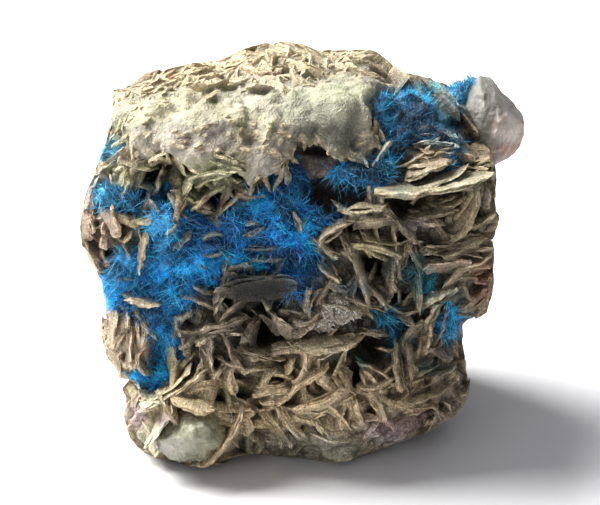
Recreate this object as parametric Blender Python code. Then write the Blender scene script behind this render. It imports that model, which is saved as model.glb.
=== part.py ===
"""Carbonatecyanotrichite hand specimen: a rough block of host rock set with tan blades,
a pale sugary cap, two larger crystals, a druse and mats of azure fibres.

Frame: +Z up, front towards -Y, the flat base on z = 0, origin under the middle of the box.
Lengths are millimetres while the shapes are worked out and metres in the finished meshes.
Places on the front are given on a drawing sheet, in drawing units right and down from the
sheet's upper left corner, seen from the view point; one unit is DRAW_UNIT millimetres."""

import math

import bmesh
import bpy
import numpy as np
from mathutils import Vector
from mathutils.bvhtree import BVHTree

# ---------------------------------------------------------------- driving dimensions
MM = 0.001
HALF_X = 27.0  # half width of the block before its outline is fitted
HALF_Y = 20.5  # half depth
HALF_Z = 24.0  # half height
MID_Z = 22.0  # height of the block's centre over the flat base
BOX_POWER = 3.7  # how square the block is
BLADE_INSET = 1.5  # the rock stays this far inside the outline, blades fill the rest
DRAW_UNIT = 0.126
SHEET_MID = (300.0, 252.5)
VIEW_TILT = math.radians(20.0)
VIEW_REACH = 400.0
GAP = 0.36  # clear gap between neighbouring growths
MAT_THICK = 1.15
MAT_BUMP = 0.45
CAP_THICK = 1.7
CAP_BUMP = 0.8
ROCK_GRID = 12  # cells along each edge of the rock's net
PLACING_GRID = 60
ORIGIN_SHIFT = (-1.009, 1.071, 0.0)  # moves the middle of the box over the origin

# ---------------------------------------------------------------- outline of the block
OUTLINE = [
    (113, 90), (130, 83), (150, 76), (172, 68), (195, 63), (215, 61), (230, 55),
    (245, 48), (262, 44), (280, 42), (300, 44), (320, 52), (350, 50), (372, 50),
    (385, 58), (400, 74), (425, 80), (445, 88), (462, 98), (476, 120), (486, 145),
    (492, 170), (493, 200), (495, 220), (491, 240), (490, 285), (485, 312),
    (468, 318), (460, 328), (459, 352), (464, 370), (466, 388), (462, 402),
    (455, 413), (440, 424), (420, 432), (400, 440), (380, 447), (362, 453),
    (350, 459), (335, 461), (315, 458), (295, 453), (275, 450), (255, 451),
    (235, 453), (222, 459), (208, 464), (190, 465), (175, 462), (158, 456),
    (143, 449), (132, 437), (128, 418), (129, 402), (127, 388), (121, 374),
    (110, 355), (106, 335), (108, 312), (108, 295), (104, 277), (95, 260),
    (85, 243), (83, 225), (86, 203), (91, 187), (100, 168), (107, 152),
    (111, 136), (112, 110),
]  # fmt: skip

# Swells and hollows of the front: x, y, half width, half height, rise
RELIEF = [
    (158, 140, 30, 20, 1.6), (225, 148, 32, 18, 2.0), (300, 118, 40, 22, 1.0),
    (365, 120, 26, 24, 1.6), (262, 170, 18, 12, 0.8), (160, 186, 13, 9, -3.2),
    (216, 203, 12, 8, -2.6), (238, 184, 7, 5, -2.0), (330, 188, 32, 11, -3.6),
    (292, 168, 9, 9, -2.2), (235, 235, 70, 30, -0.9), (150, 250, 12, 26, -1.0),
    (196, 289, 10, 7, -2.2), (256, 330, 14, 15, -4.4), (232, 397, 15, 8, -3.6),
    (366, 346, 20, 14, -4.2), (356, 375, 8, 8, -3.4), (168, 360, 9, 15, -3.2),
    (152, 340, 5, 18, -1.6), (376, 267, 8, 9, -3.0), (398, 320, 11, 22, -2.6),
    (420, 272, 9, 16, -3.0), (432, 360, 16, 9, -2.8), (402, 186, 9, 9, -1.2),
    (408, 205, 18, 6, -2.6), (452, 148, 6, 20, -2.4), (446, 222, 5, 12, -3.0),
    (440, 185, 40, 12, 1.9), (470, 205, 20, 22, 1.6), (262, 282, 30, 14, 1.9),
    (325, 338, 24, 12, 1.8), (325, 404, 34, 13, 1.8), (225, 410, 20, 8, 1.2),
    (190, 442, 34, 16, 1.2), (330, 446, 40, 12, 1.0), (430, 402, 26, 14, 1.2),
    (362, 232, 30, 24, 1.5), (140, 335, 22, 24, 1.4), (100, 235, 14, 26, 1.0),
    (455, 250, 34, 18, 1.2), (400, 365, 14, 20, 0.8), (446, 345, 14, 16, -0.6),
]  # fmt: skip

# Flat breaks of the back and sides: a direction and how far out the plane lies
BREAKS = [
    (-0.64, 0.70, 0.18, 0.86), (0.68, 0.64, -0.30, 0.86), (0.10, 0.98, 0.05, 0.94),
    (-0.22, 0.92, -0.32, 0.90), (0.88, 0.42, 0.10, 0.90), (-0.88, 0.38, -0.26, 0.88),
    (-0.50, 0.52, -0.69, 0.86), (0.30, 0.56, -0.77, 0.86), (0.80, 0.05, -0.60, 0.93),
]  # fmt: skip

# ---------------------------------------------------------------- blades of the front
# Each blade: x0, y0, x1, y1, seen width. A negative width turns its other face to view.
BLADES = [
    # left edge
    (91, 193, 89, 217, 12), (87, 214, 86, 240, 10), (104, 208, 117, 238, 12),
    (119, 213, 139, 226, 10), (86, 242, 104, 268, 11), (101, 249, 107, 268, 8),
    # under the lip on the left
    (98, 173, 123, 159, 7), (142, 158, 133, 184, 8), (135, 178, 122, 200, 7),
    (192, 174, 182, 198, 7), (184, 193, 178, 220, 7), (232, 180, 219, 213, 7),
    (226, 182, 194, 208, 6), (131, 165, 119, 188, 7),
    # standing out of the blue field
    (145, 230, 141, 264, 8), (179, 219, 167, 234, 8), (189, 231, 177, 247, 8),
    (244, 220, 259, 220, 7), (244, 249, 283, 246, 8), (254, 259, 282, 258, 7),
    (294, 212, 300, 232, 7), (250, 235, 264, 229, 5), (204, 253, 224, 252, 6),
    # lower left
    (126, 296, 161, 304, 11), (124, 315, 111, 346, 17), (146, 319, 131, 366, 14),
    (153, 325, 150, 363, 8), (120, 370, 136, 381, 11), (174, 317, 184, 333, 9),
    (180, 331, 206, 325, 9), (176, 318, 193, 308, 9), (189, 294, 217, 307, 8),
    (196, 342, 216, 332, 9), (209, 338, 209, 362, 10), (229, 274, 218, 303, 9),
    (232, 286, 289, 281, 33), (246, 297, 221, 321, 9), (242, 321, 205, 333, 10),
    (257, 319, 246, 343, 12), (268, 313, 291, 337, 13), (242, 350, 280, 357, 8),
    (275, 350, 309, 344, 7), (205, 372, 150, 401, 13), (226, 362, 229, 394, 14),
    (218, 377, 204, 423, 12), (215, 412, 252, 412, 15), (248, 416, 211, 461, 14),
    (186, 388, 216, 384, 8), (262, 382, 276, 366, 7), (257, 389, 287, 386, 9),
    (266, 411, 288, 442, 11), (277, 405, 301, 437, 8), (323, 365, 293, 390, 12),
    (298, 386, 277, 403, 9), (297, 412, 343, 394, 14), (320, 374, 338, 389, 13),
    (343, 364, 349, 397, 10), (352, 397, 357, 424, 9), (374, 393, 383, 422, 7),
    (361, 386, 391, 379, 9), (141, 390, 160, 412, 10), (162, 405, 152, 432, 9),
    # middle
    (302, 346, 349, 341, 17), (295, 331, 318, 318, 9), (357, 331, 385, 333, 6),
    (326, 281, 347, 289, 9), (352, 302, 385, 303, 9), (358, 278, 386, 304, 9),
    (384, 303, 411, 313, 8), (402, 313, 435, 300, 6), (387, 265, 391, 292, 8),
    (396, 343, 402, 387, 9), (405, 341, 411, 386, 9), (424, 327, 409, 364, 11),
    (364, 368, 378, 385, 8),
    # boxwork right of the middle
    (343, 212, 383, 206, 10), (352, 216, 317, 243, 11), (318, 240, 336, 257, 9),
    (344, 235, 371, 300, 11), (390, 214, 414, 237, 9), (357, 227, 386, 224, 8),
    (351, 241, 397, 251, 17), (406, 241, 398, 275, 7), (407, 241, 424, 266, 9),
    (377, 188, 376, 209, 8), (398, 222, 416, 241, 8), (432, 221, 446, 245, 9),
    # stack on the right
    (384, 195, 486, 177, 18), (409, 175, 450, 158, 14), (418, 157, 450, 150, 8),
    (455, 157, 493, 158, 10), (460, 168, 488, 164, 8), (409, 216, 452, 210, 10),
    (431, 205, 464, 198, 8), (478, 186, 456, 236, 22), (461, 230, 493, 214, 12),
    (447, 243, 493, 233, 9), (440, 253, 493, 247, 9), (426, 267, 466, 262, 10),
    (489, 256, 462, 269, 7), (467, 265, 446, 285, 8), (489, 268, 482, 306, 15),
    (424, 302, 447, 289, 11), (441, 299, 429, 326, 8), (452, 297, 444, 334, 9),
    (488, 292, 462, 314, 14), (420, 86, 455, 121, 8), (417, 271, 418, 309, 7),
    (402, 402, 448, 387, 9), (404, 411, 436, 404, 8), (446, 380, 462, 398, 9),
]  # fmt: skip

# Blades of the sides and the back, spread by rule
SIDE_BLADES = 40
SIDE_SEED = 5
MATRIX_SHARE = 0.66  # share of the triangles kept when slivers are collapsed
LEAST_BLADE = 15.0  # shorter blades belong to the crust of fine grains
MOST_BROAD = 5.8  # how far across a blade reaches at most
BASE_CUT = 1.5  # the rock is made this much deeper, then sawn flat on z = 0

# ---------------------------------------------------------------- growths on the rock
MATS = {
    "blue_mat_main": [
        (166, 184), (176, 200), (178, 222), (196, 214), (216, 216), (232, 210),
        (250, 202), (264, 190), (276, 182), (290, 170), (300, 172), (308, 192),
        (318, 212), (342, 204), (342, 214), (322, 232), (313, 245), (320, 258),
        (328, 270), (318, 284), (310, 296), (305, 312), (294, 300), (286, 282),
        (272, 268), (236, 264), (224, 278), (214, 287), (198, 298), (184, 308),
        (174, 320), (178, 340), (176, 358), (164, 374), (148, 388), (134, 390),
        (132, 376), (146, 364), (155, 348), (149, 328), (138, 312), (112, 306),
        (108, 290), (113, 274), (124, 262), (138, 246), (142, 222), (148, 200),
    ],
    "blue_mat_left": [
        (93, 182), (106, 174), (118, 180), (128, 192), (138, 188), (142, 196),
        (136, 214), (126, 212), (117, 205), (106, 207), (97, 205), (89, 197),
    ],
    "blue_mat_upper_right": [
        (376, 100), (392, 92), (404, 86), (420, 84), (434, 90), (440, 100),
        (450, 112), (464, 118), (466, 140), (458, 158), (450, 168), (446, 150),
        (430, 142), (414, 144), (404, 156), (399, 170), (390, 184), (376, 190),
        (364, 184), (350, 186), (338, 190), (328, 184), (340, 174), (356, 168),
        (370, 160), (384, 150), (386, 132), (378, 118),
    ],
    "blue_tuft_right_edge": [
        (442, 318), (452, 312), (464, 314), (464, 328), (458, 344), (447, 338),
    ],
    "blue_tuft_lower_middle": [
        (377, 307), (390, 305), (402, 318), (407, 338), (402, 357), (393, 342),
        (383, 327),
    ],
    "blue_tuft_right": [
        (411, 256), (426, 254), (431, 272), (427, 296), (417, 298), (411, 276),
    ],
    "blue_tuft_left_edge": [
        (95, 146), (105, 139), (117, 140), (121, 150), (116, 160), (104, 162),
        (95, 158),
    ],
}  # fmt: skip

# How far round the block each growth reaches: depth in front of the centre
REACH_BACK = {
    "blue_mat_main": 8.5, "blue_mat_left": 6.5, "blue_mat_upper_right": 2.0,
    "blue_tuft_right_edge": 8.0, "blue_tuft_lower_middle": 0.0, "blue_tuft_right": 0.0,
    "blue_tuft_left_edge": 6.5,
}  # fmt: skip

CAP_OUTLINE = [
    (60, 20), (420, 20), (412, 66), (398, 82), (386, 88), (372, 98), (374, 118),
    (382, 132), (380, 146), (368, 156), (352, 162), (336, 160), (322, 148),
    (306, 140), (296, 152), (288, 164), (274, 176), (262, 184), (250, 196),
    (238, 200), (240, 188), (228, 176), (212, 176), (200, 184), (188, 172),
    (176, 164), (164, 160), (146, 162), (134, 168), (127, 156), (125, 136),
    (112, 131), (96, 126), (60, 112),
]  # fmt: skip

NOTCH_OUTLINE = [
    (443, 92), (450, 84), (464, 76), (478, 72), (476, 88), (470, 96), (476, 104),
    (472, 112), (462, 114), (452, 106),
]  # fmt: skip

DRUSE_OUTLINE = [
    (311, 322), (316, 310), (326, 303), (340, 300), (352, 303), (362, 310),
    (370, 320), (360, 329), (344, 331), (328, 330),
]  # fmt: skip

# Larger crystals: rings of corners x, y, depth in front of the block's centre
CORNER_CRYSTAL = [
    (458, 96, 0), (466, 82, 0.5), (480, 75, 0), (489, 76, -1.5), (497, 84, 0.5),
    (509, 99, 0), (521, 112, -1), (527, 122, 0.5), (526, 138, -0.5), (518, 152, 0.5),
    (504, 162, -1), (492, 168, 0), (470, 160, 0), (456, 140, 0),
    (470, 97, 3.6), (482, 90, 4.2), (496, 98, 4.6), (509, 114, 4.8), (512, 132, 4.4),
    (500, 150, 4.6), (482, 152, 4.8), (466, 134, 4.4), (464, 112, 4.0),
    (486, 112, 5.9), (500, 122, 6.0), (496, 138, 5.9), (478, 130, 5.8),
    (470, 100, -4.0), (486, 88, -4.4), (504, 106, -4.6), (514, 128, -4.4),
    (500, 152, -4.2), (476, 148, -4.6), (462, 120, -4.8), (490, 120, -6.2),
]  # fmt: skip
GREEN_CRYSTAL = [
    (151, 438, 12), (163, 424, 13), (178, 409, 14), (198, 402, 15), (214, 408, 15),
    (225, 424, 15), (229, 442, 14.5), (222, 456, 13.8), (208, 463, 13.2),
    (190, 464, 12.8), (172, 460, 12), (158, 452, 11.6),
    (168, 440, 17), (184, 424, 18.4), (204, 422, 18.8), (216, 440, 18.2),
    (206, 454, 16.4), (184, 456, 15.6), (194, 438, 19.4), (206, 440, 19.2),
    (160, 440, 8), (190, 415, 9), (216, 430, 9), (206, 456, 8.6), (176, 455, 8),
]  # fmt: skip


# ---------------------------------------------------------------- view and noise
RIGHT = np.array([1.0, 0.0, 0.0])
UP = np.array([0.0, math.sin(VIEW_TILT), math.cos(VIEW_TILT)])
TOWARD = np.array([0.0, -math.cos(VIEW_TILT), math.sin(VIEW_TILT)])
CENTRE = np.array([0.0, 0.0, MID_Z])
VIEW_POINT = CENTRE + TOWARD * VIEW_REACH


def sheet_of(points):
    """Places on the drawing sheet of points in millimetres."""
    rel = points - CENTRE
    f = VIEW_REACH / (VIEW_REACH - rel @ TOWARD) / DRAW_UNIT
    return np.stack([SHEET_MID[0] + rel @ RIGHT * f, SHEET_MID[1] - rel @ UP * f], -1)


def sheet_point(x, y, near=0.0):
    """The point of sheet place x, y that lies `near` in front of the block's centre."""
    flat = RIGHT * ((x - SHEET_MID[0]) * DRAW_UNIT) + UP * ((SHEET_MID[1] - y) * DRAW_UNIT)
    return CENTRE + flat * (1.0 - near / VIEW_REACH) + TOWARD * near


def hashed(ix, iy, iz, seed):
    h = ix * np.uint32(0x8DA6B343) ^ iy * np.uint32(0xD8163841) ^ iz * np.uint32(0xCB1AB31F)
    h = h + np.uint32((seed * 0x9E3779B9) & 0xFFFFFFFF)
    h ^= h >> np.uint32(13)
    h *= np.uint32(0x5BD1E995)
    h ^= h >> np.uint32(15)
    h *= np.uint32(0x27D4EB2D)
    h ^= h >> np.uint32(13)
    return h.astype(np.float64) / 4294967295.0 * 2.0 - 1.0


def noise(points, size, seed):
    """Smooth noise between -1 and 1 with features of this size."""
    p = points / size
    cell = np.floor(p)
    f = p - cell
    f = f * f * f * (f * (f * 6.0 - 15.0) + 10.0)
    i = cell.astype(np.int64).astype(np.uint32)
    total = 0.0
    for dx in (0, 1):
        wx = f[..., 0] if dx else 1.0 - f[..., 0]
        for dy in (0, 1):
            wy = f[..., 1] if dy else 1.0 - f[..., 1]
            for dz in (0, 1):
                wz = f[..., 2] if dz else 1.0 - f[..., 2]
                total = total + wx * wy * wz * hashed(
                    i[..., 0] + np.uint32(dx), i[..., 1] + np.uint32(dy),
                    i[..., 2] + np.uint32(dz), seed,
                )  # fmt: skip
    return total


def layered(points, size, seed, octaves=3):
    total, weight = 0.0, 1.0
    for octave in range(octaves):
        total = total + weight * noise(points, size, seed + octave)
        size, weight = size * 0.5, weight * 0.5
    return total


def smooth(x):
    x = np.clip(x, 0.0, 1.0)
    return x * x * (3.0 - 2.0 * x)


# ---------------------------------------------------------------- the block of rock
def outline_radius(angles):
    """Distance of the outline from the sheet's middle at each angle, in millimetres."""
    ring = (np.array(OUTLINE, float) - SHEET_MID) * (DRAW_UNIT, -DRAW_UNIT)
    nxt = np.roll(ring, -1, axis=0)
    found = np.zeros(len(angles))
    for k, angle in enumerate(angles):
        d = np.array([math.cos(angle), math.sin(angle)])
        e = nxt - ring
        den = d[0] * e[:, 1] - d[1] * e[:, 0]
        den = np.where(abs(den) < 1e-9, 1e-9, den)
        t = (ring[:, 0] * e[:, 1] - ring[:, 1] * e[:, 0]) / den
        s = (ring[:, 0] * d[1] - ring[:, 1] * d[0]) / den
        hit = t[(s >= 0.0) & (s <= 1.0) & (t > 0.0)]
        found[k] = hit.max() if len(hit) else 20.0
    return found


def box_radius(u):
    q = (abs(u[..., 0]) / HALF_X) ** BOX_POWER
    q = q + (abs(u[..., 1]) / HALF_Y) ** BOX_POWER + (abs(u[..., 2]) / HALF_Z) ** BOX_POWER
    return q ** (-1.0 / BOX_POWER)


def break_limit(u):
    """Distance from the centre to the nearest flat break in each direction."""
    power = BOX_POWER / (BOX_POWER - 1.0)
    limit = np.full(u.shape[:-1], 1e9)
    for x, y, z, share in BREAKS:
        n = np.array((x, y, z)) / math.sqrt(x * x + y * y + z * z)
        halves = abs(n) * (HALF_X, HALF_Y, HALF_Z)
        out = share * (halves**power).sum() ** (1.0 / power)
        facing = u @ n
        limit = np.minimum(limit, np.where(facing > 0.05, out / np.maximum(facing, 0.05), 1e9))
    return limit


def floor_limit(u):
    return np.where(u[..., 2] < -1e-6, MID_Z / np.maximum(-u[..., 2], 1e-6), 1e9)


ANGLES = np.linspace(-math.pi, math.pi, 241)


def fitted_outline():
    """How far to swell the box at each angle round the view line, so that its outline
    seen from the view point is the drawn one."""
    wanted = outline_radius(ANGLES) - BLADE_INSET
    theta = np.radians(np.linspace(14.0, 166.0, 77))
    rho, near = np.sin(theta), np.cos(theta)
    flat = np.cos(ANGLES)[:, None] * RIGHT + np.sin(ANGLES)[:, None] * UP
    u = flat[:, None, :] * rho[None, :, None] + TOWARD * near[None, :, None]
    box, lowest = box_radius(u), floor_limit(u)
    swell = np.ones(len(ANGLES))
    for _ in range(14):
        r = np.minimum(box * (1.0 + (swell[:, None] - 1.0) * rho**2), lowest)
        seen = (r * rho * VIEW_REACH / (VIEW_REACH - r * near)).max(axis=1)
        swell = np.clip(swell * (wanted / seen) ** 0.9, 0.6, 1.5)
    return swell


SWELL = fitted_outline()


def rock_points(u):
    """Points of the rock's surface in the unit directions u from the block's centre."""
    a, b, near = u @ RIGHT, u @ UP, u @ TOWARD
    rho2 = a * a + b * b
    swell = np.interp(np.arctan2(b, a), ANGLES, SWELL)
    r = np.minimum(box_radius(u) * (1.0 + (swell - 1.0) * rho2), break_limit(u))
    p = CENTRE + u * r[..., None]
    place = sheet_of(p)
    front = smooth((near - 0.04) / 0.3)
    for x, y, sx, sy, rise in RELIEF:
        d = ((place[..., 0] - x) / sx) ** 2 + ((place[..., 1] - y) / sy) ** 2
        r = r + front * rise * np.exp(-0.5 * d)
    rim = 1.0 - 0.5 * smooth((rho2 - 0.8) / 0.2)
    r = r + rim * (0.8 * layered(p, 10.0, 3) + 0.35 * noise(p, 3.2, 9))
    back = smooth((-near - 0.1) / 0.4)
    r = r + back * (1.1 * noise(p, 14.0, 17) + 0.9 * noise(p, 6.0, 19) - 0.2)
    r = np.minimum(r, floor_limit(u))
    return CENTRE + u * r[..., None]


def ball_net(n):
    """Unit directions and quads of a cube's net blown up to a ball."""
    t = np.linspace(-1.0, 1.0, n + 1)
    t = np.tan(t * 0.7) / math.tan(0.7)
    s, q = np.meshgrid(t, t, indexing="ij")
    one = np.ones_like(s)
    sides = [(one, s, q), (-one, q, s), (q, one, s), (s, -one, q), (s, q, one), (q, s, -one)]
    points, quads = [], []
    cell = np.arange(n * (n + 1)).reshape(n, n + 1)[:, :n].reshape(-1)
    for k, side in enumerate(sides):
        points.append(np.stack([c.reshape(-1) for c in side], -1))
        first = cell + k * (n + 1) ** 2
        quads.append(np.stack([first, first + n + 1, first + n + 2, first + 1], -1))
    points, quads = np.concatenate(points), np.concatenate(quads)
    points *= (HALF_X, HALF_Y, HALF_Z)
    _, keep, index = np.unique(
        np.round(points, 5), axis=0, return_index=True, return_inverse=True
    )
    points = points[keep]
    return points / np.linalg.norm(points, axis=1)[:, None], index.reshape(-1)[quads]


def turned_out(points, quads):
    a, b, c = (points[quads[:, k]] for k in (0, 1, 2))
    outward = ((np.cross(b - a, c - a)) * (a - CENTRE)).sum(axis=1) > 0
    return np.where(outward[:, None], quads, quads[:, ::-1])


# ---------------------------------------------------------------- Blender helpers
def clear_scene():
    for obj in list(bpy.data.objects):
        bpy.data.objects.remove(obj, do_unlink=True)


def material(name, colour, roughness, metallic=0.0):
    mat = bpy.data.materials.new(name)
    mat.use_nodes = True
    shader = mat.node_tree.nodes["Principled BSDF"]
    shader.inputs["Base Color"].default_value = (*colour, 1.0)
    shader.inputs["Roughness"].default_value = roughness
    shader.inputs["Metallic"].default_value = metallic
    mat.diffuse_color = (*colour, 1.0)
    return mat


def solid(name, points, faces, mat=None, hidden=False):
    """A mesh object from points in millimetres."""
    mesh = bpy.data.meshes.new(name)
    shifted = (np.asarray(points) + ORIGIN_SHIFT) * MM
    mesh.from_pydata([tuple(p) for p in shifted.tolist()], [], [list(map(int, f)) for f in faces])
    mesh.update()
    obj = bpy.data.objects.new(name, mesh)
    bpy.context.scene.collection.objects.link(obj)
    if mat:
        mesh.materials.append(mat)
    if hidden:
        obj.hide_render = True
        obj.display_type = "WIRE"
    return obj


def applied(obj):
    """Fixes the object's modifiers into its mesh."""
    graph = bpy.context.evaluated_depsgraph_get()
    mesh = bpy.data.meshes.new_from_object(obj.evaluated_get(graph))
    obj.modifiers.clear()
    old = obj.data
    obj.data = mesh
    bpy.data.meshes.remove(old)


def combine(obj, others, operation):
    """EXACT Boolean of the object with a list of helper objects, which are then removed."""
    group = bpy.data.collections.new("helpers")
    bpy.context.scene.collection.children.link(group)
    group.hide_render = True
    for other in others:
        for old in list(other.users_collection):
            old.objects.unlink(other)
        group.objects.link(other)
    modifier = obj.modifiers.new("cut", "BOOLEAN")
    modifier.operation = operation
    modifier.solver = "EXACT"
    modifier.operand_type = "COLLECTION"
    modifier.collection = group
    applied(obj)
    for other in others:
        bpy.data.objects.remove(other, do_unlink=True)
    bpy.data.collections.remove(group)


def signed_volume(bm, faces):
    total = 0.0
    for face in faces:
        a = face.verts[0].co
        for k in range(1, len(face.verts) - 1):
            total += a.dot(face.verts[k].co.cross(face.verts[k + 1].co))
    return total / 6.0


def tidy(obj, merge=0.000001):
    """Keeps the largest closed body of the object and merges slivers."""
    bm = bmesh.new()
    bm.from_mesh(obj.data)
    bmesh.ops.remove_doubles(bm, verts=bm.verts, dist=merge)
    bmesh.ops.dissolve_degenerate(bm, dist=merge, edges=bm.edges)
    bmesh.ops.triangulate(bm, faces=bm.faces)
    left, groups = set(bm.faces), []
    while left:
        seed = next(iter(left))
        group, edge = {seed}, [seed]
        left.discard(seed)
        while edge:
            face = edge.pop()
            for side in face.edges:
                for other in side.link_faces:
                    if other in left:
                        left.discard(other)
                        group.add(other)
                        edge.append(other)
        groups.append(group)
    groups.sort(key=lambda g: -abs(signed_volume(bm, g)))
    for group in groups[1:]:
        bmesh.ops.delete(bm, geom=list(group), context="FACES")
    bmesh.ops.delete(bm, geom=[v for v in bm.verts if not v.link_faces], context="VERTS")
    bmesh.ops.recalc_face_normals(bm, faces=bm.faces)
    if bm.calc_volume(signed=True) < 0:
        bmesh.ops.reverse_faces(bm, faces=bm.faces)
    bm.to_mesh(obj.data)
    bm.free()


def floor_slab(name="floor_slab"):
    """A slab that fills everything under the base plane."""
    points = [(x, y, z) for x in (-60, 60) for y in (-60, 60) for z in (-20, 0)]
    faces = [(0, 1, 3, 2), (4, 6, 7, 5), (0, 4, 5, 1), (2, 3, 7, 6), (0, 2, 6, 4), (1, 5, 7, 3)]
    return solid(name, points, faces, hidden=True)


# ---------------------------------------------------------------- placing on the rock
placing_u, placing_quads = ball_net(PLACING_GRID)
placing_points = rock_points(placing_u)
placing_quads = turned_out(placing_points, placing_quads)
PLACING = BVHTree.FromPolygons(placing_points.tolist(), placing_quads.tolist())


def rock_hit(x, y):
    """The rock's surface seen at a sheet place, or the depth of the nearest rock seen."""
    aim = sheet_point(x, y) - VIEW_POINT
    aim /= np.linalg.norm(aim)
    for step in range(30):
        f = 1.0 - 0.02 * step
        sx = SHEET_MID[0] + (x - SHEET_MID[0]) * f
        sy = SHEET_MID[1] + (y - SHEET_MID[1]) * f
        ray = sheet_point(sx, sy) - VIEW_POINT
        ray /= np.linalg.norm(ray)
        hit, _, _, reach = PLACING.ray_cast(Vector(VIEW_POINT), Vector(ray))
        if hit is not None:
            return VIEW_POINT + aim * reach
    return CENTRE.copy()


def blade_place(spec):
    """Middle, long axis, outward axis and sizes of a blade of the front."""
    x0, y0, x1, y1, wide = spec[:5]
    seen = abs(wide) * DRAW_UNIT
    a, m, b = rock_hit(x0, y0), rock_hit((x0 + x1) / 2, (y0 + y1) / 2), rock_hit(x1, y1)
    flat = RIGHT * (x1 - x0) - UP * (y1 - y0)
    flat_length = np.linalg.norm(flat) * DRAW_UNIT
    flat /= np.linalg.norm(flat)
    slope = np.clip((b - a) @ TOWARD / flat_length, -0.7, 0.7) * 0.55
    length = flat_length * math.sqrt(1.0 + slope * slope)
    along = flat + TOWARD * slope
    along /= np.linalg.norm(along)
    length *= 1.06
    thick = float(np.clip(0.8 * seen, 0.95, 2.1))
    broad = min(max(0.58 * length, 2.8, 1.2 * seen), MOST_BROAD)
    sine = float(np.clip((seen - 0.75 * thick) / broad, 0.12, 0.93))
    aside = np.cross(TOWARD, along)
    aside /= np.linalg.norm(aside)
    if aside @ (0.6 * RIGHT - UP) < 0:
        aside = -aside
    if wide < 0:
        aside = -aside
    out = TOWARD - along * (TOWARD @ along)
    out /= np.linalg.norm(out)
    outward = out * math.sqrt(1.0 - sine * sine) + aside * sine
    lift = 0.16 * broad + 0.45
    return m + TOWARD * lift, along, outward, (length, broad, thick)


LENS = [(-1, 0), (-0.66, 0.68), (0, 1), (0.66, 0.68), (1, 0), (0.66, -0.68), (0, -1), (-0.66, -0.68)]
LENS_RIDGE = 0.55


def blade_mesh(place, extra=0.0):
    """A lens-shaped blade with a blunt ridge along the middle of both faces."""
    middle, along, outward, (length, broad, thick) = place
    face = np.cross(along, outward)
    hl, hb, ht = length / 2 + extra, broad / 2 + extra, thick / 2 + extra
    points = [middle + along * (s * hl) + outward * (q * hb) for s, q in LENS]
    for side in (1, -1):
        for s in (-LENS_RIDGE, LENS_RIDGE):
            points.append(middle + along * (s * hl) + face * (side * ht))
    upper = [
        (8, 0, 7), (8, 1, 0), (8, 2, 1), (8, 9, 2), (9, 3, 2), (9, 4, 3), (9, 5, 4),
        (9, 6, 5), (9, 8, 6), (8, 7, 6),
    ]  # fmt: skip
    lower = [tuple(v + 2 if v > 7 else v for v in reversed(f)) for f in upper]
    faces = upper + lower
    p = np.array(points)
    f = np.array(faces)
    a, b, c = p[f[:, 0]], p[f[:, 1]], p[f[:, 2]]
    if ((a - middle) * np.cross(b - middle, c - middle)).sum() < 0:
        faces = [tuple(reversed(g)) for g in faces]
    return p, faces


def side_places():
    """Blades of the sides, the back and the top edge, away from the drawn front."""
    rng = np.random.default_rng(SIDE_SEED)
    places = []
    golden = math.pi * (3.0 - math.sqrt(5.0))
    tries = 84
    for k in range(tries):
        height = -0.78 + 1.5 * (k + 0.5) / tries
        angle = k * golden
        flat = math.sqrt(1.0 - height * height)
        u = np.array([math.cos(angle) * flat, math.sin(angle) * flat, height])
        if u @ TOWARD > -0.12:
            continue
        p = rock_points(u[None, :])[0]
        normal = u * (1.0, 1.2, 1.0)
        normal /= np.linalg.norm(normal)
        side = np.cross(normal, (0.0, 0.0, 1.0))
        side /= np.linalg.norm(side)
        rise = np.cross(side, normal)
        turn = rng.normal(0.0, 0.6)
        along = side * math.cos(turn) + rise * math.sin(turn)
        lean = rng.normal(0.35, 0.35)
        outward = normal * math.cos(lean) + np.cross(along, normal) * math.sin(lean)
        length = rng.uniform(5.0, 9.0)
        broad = length * rng.uniform(0.55, 0.8)
        place = p + normal * (0.14 * broad), along, outward, (length, broad, rng.uniform(1.3, 2.2))
        if blade_mesh(place)[0][:, 2].min() > 1.0:
            places.append(place)
        if len(places) == SIDE_BLADES:
            break
    return places


# ---------------------------------------------------------------- growths
def prism(name, ring, near, far):
    """A wedge through the sheet outline, from `near` to `far` in front of the centre."""
    ring = [tuple(map(float, p)) for p in ring]
    n = len(ring)
    points = [sheet_point(x, y, near) for x, y in ring] + [sheet_point(x, y, far) for x, y in ring]
    area = sum(ring[k][0] * ring[(k + 1) % n][1] - ring[(k + 1) % n][0] * ring[k][1] for k in range(n))
    order = list(range(n)) if area < 0 else list(range(n - 1, -1, -1))
    faces = [order, [v + n for v in reversed(order)]]
    for k in range(n):
        a, b = order[k], order[(k + 1) % n]
        faces.append([b, a, a + n, b + n])
    return solid(name, points, faces, hidden=True)


def inside(ring, places):
    ring = np.array(ring, float)
    nxt = np.roll(ring, -1, axis=0)
    x, y = places[..., 0][..., None], places[..., 1][..., None]
    cross = (ring[:, 1] > y) != (nxt[:, 1] > y)
    at = (nxt[:, 0] - ring[:, 0]) * (y - ring[:, 1]) / (nxt[:, 1] - ring[:, 1] + 1e-12) + ring[:, 0]
    return (cross & (x < at)).sum(axis=-1) % 2 == 1


def vertex_normals(points, quads):
    a, b, c, d = (points[quads[:, k]] for k in range(4))
    face = np.cross(c - a, d - b)
    normal = np.zeros_like(points)
    for k in range(4):
        np.add.at(normal, quads[:, k], face)
    return normal / np.maximum(np.linalg.norm(normal, axis=1), 1e-12)[:, None]


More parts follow.
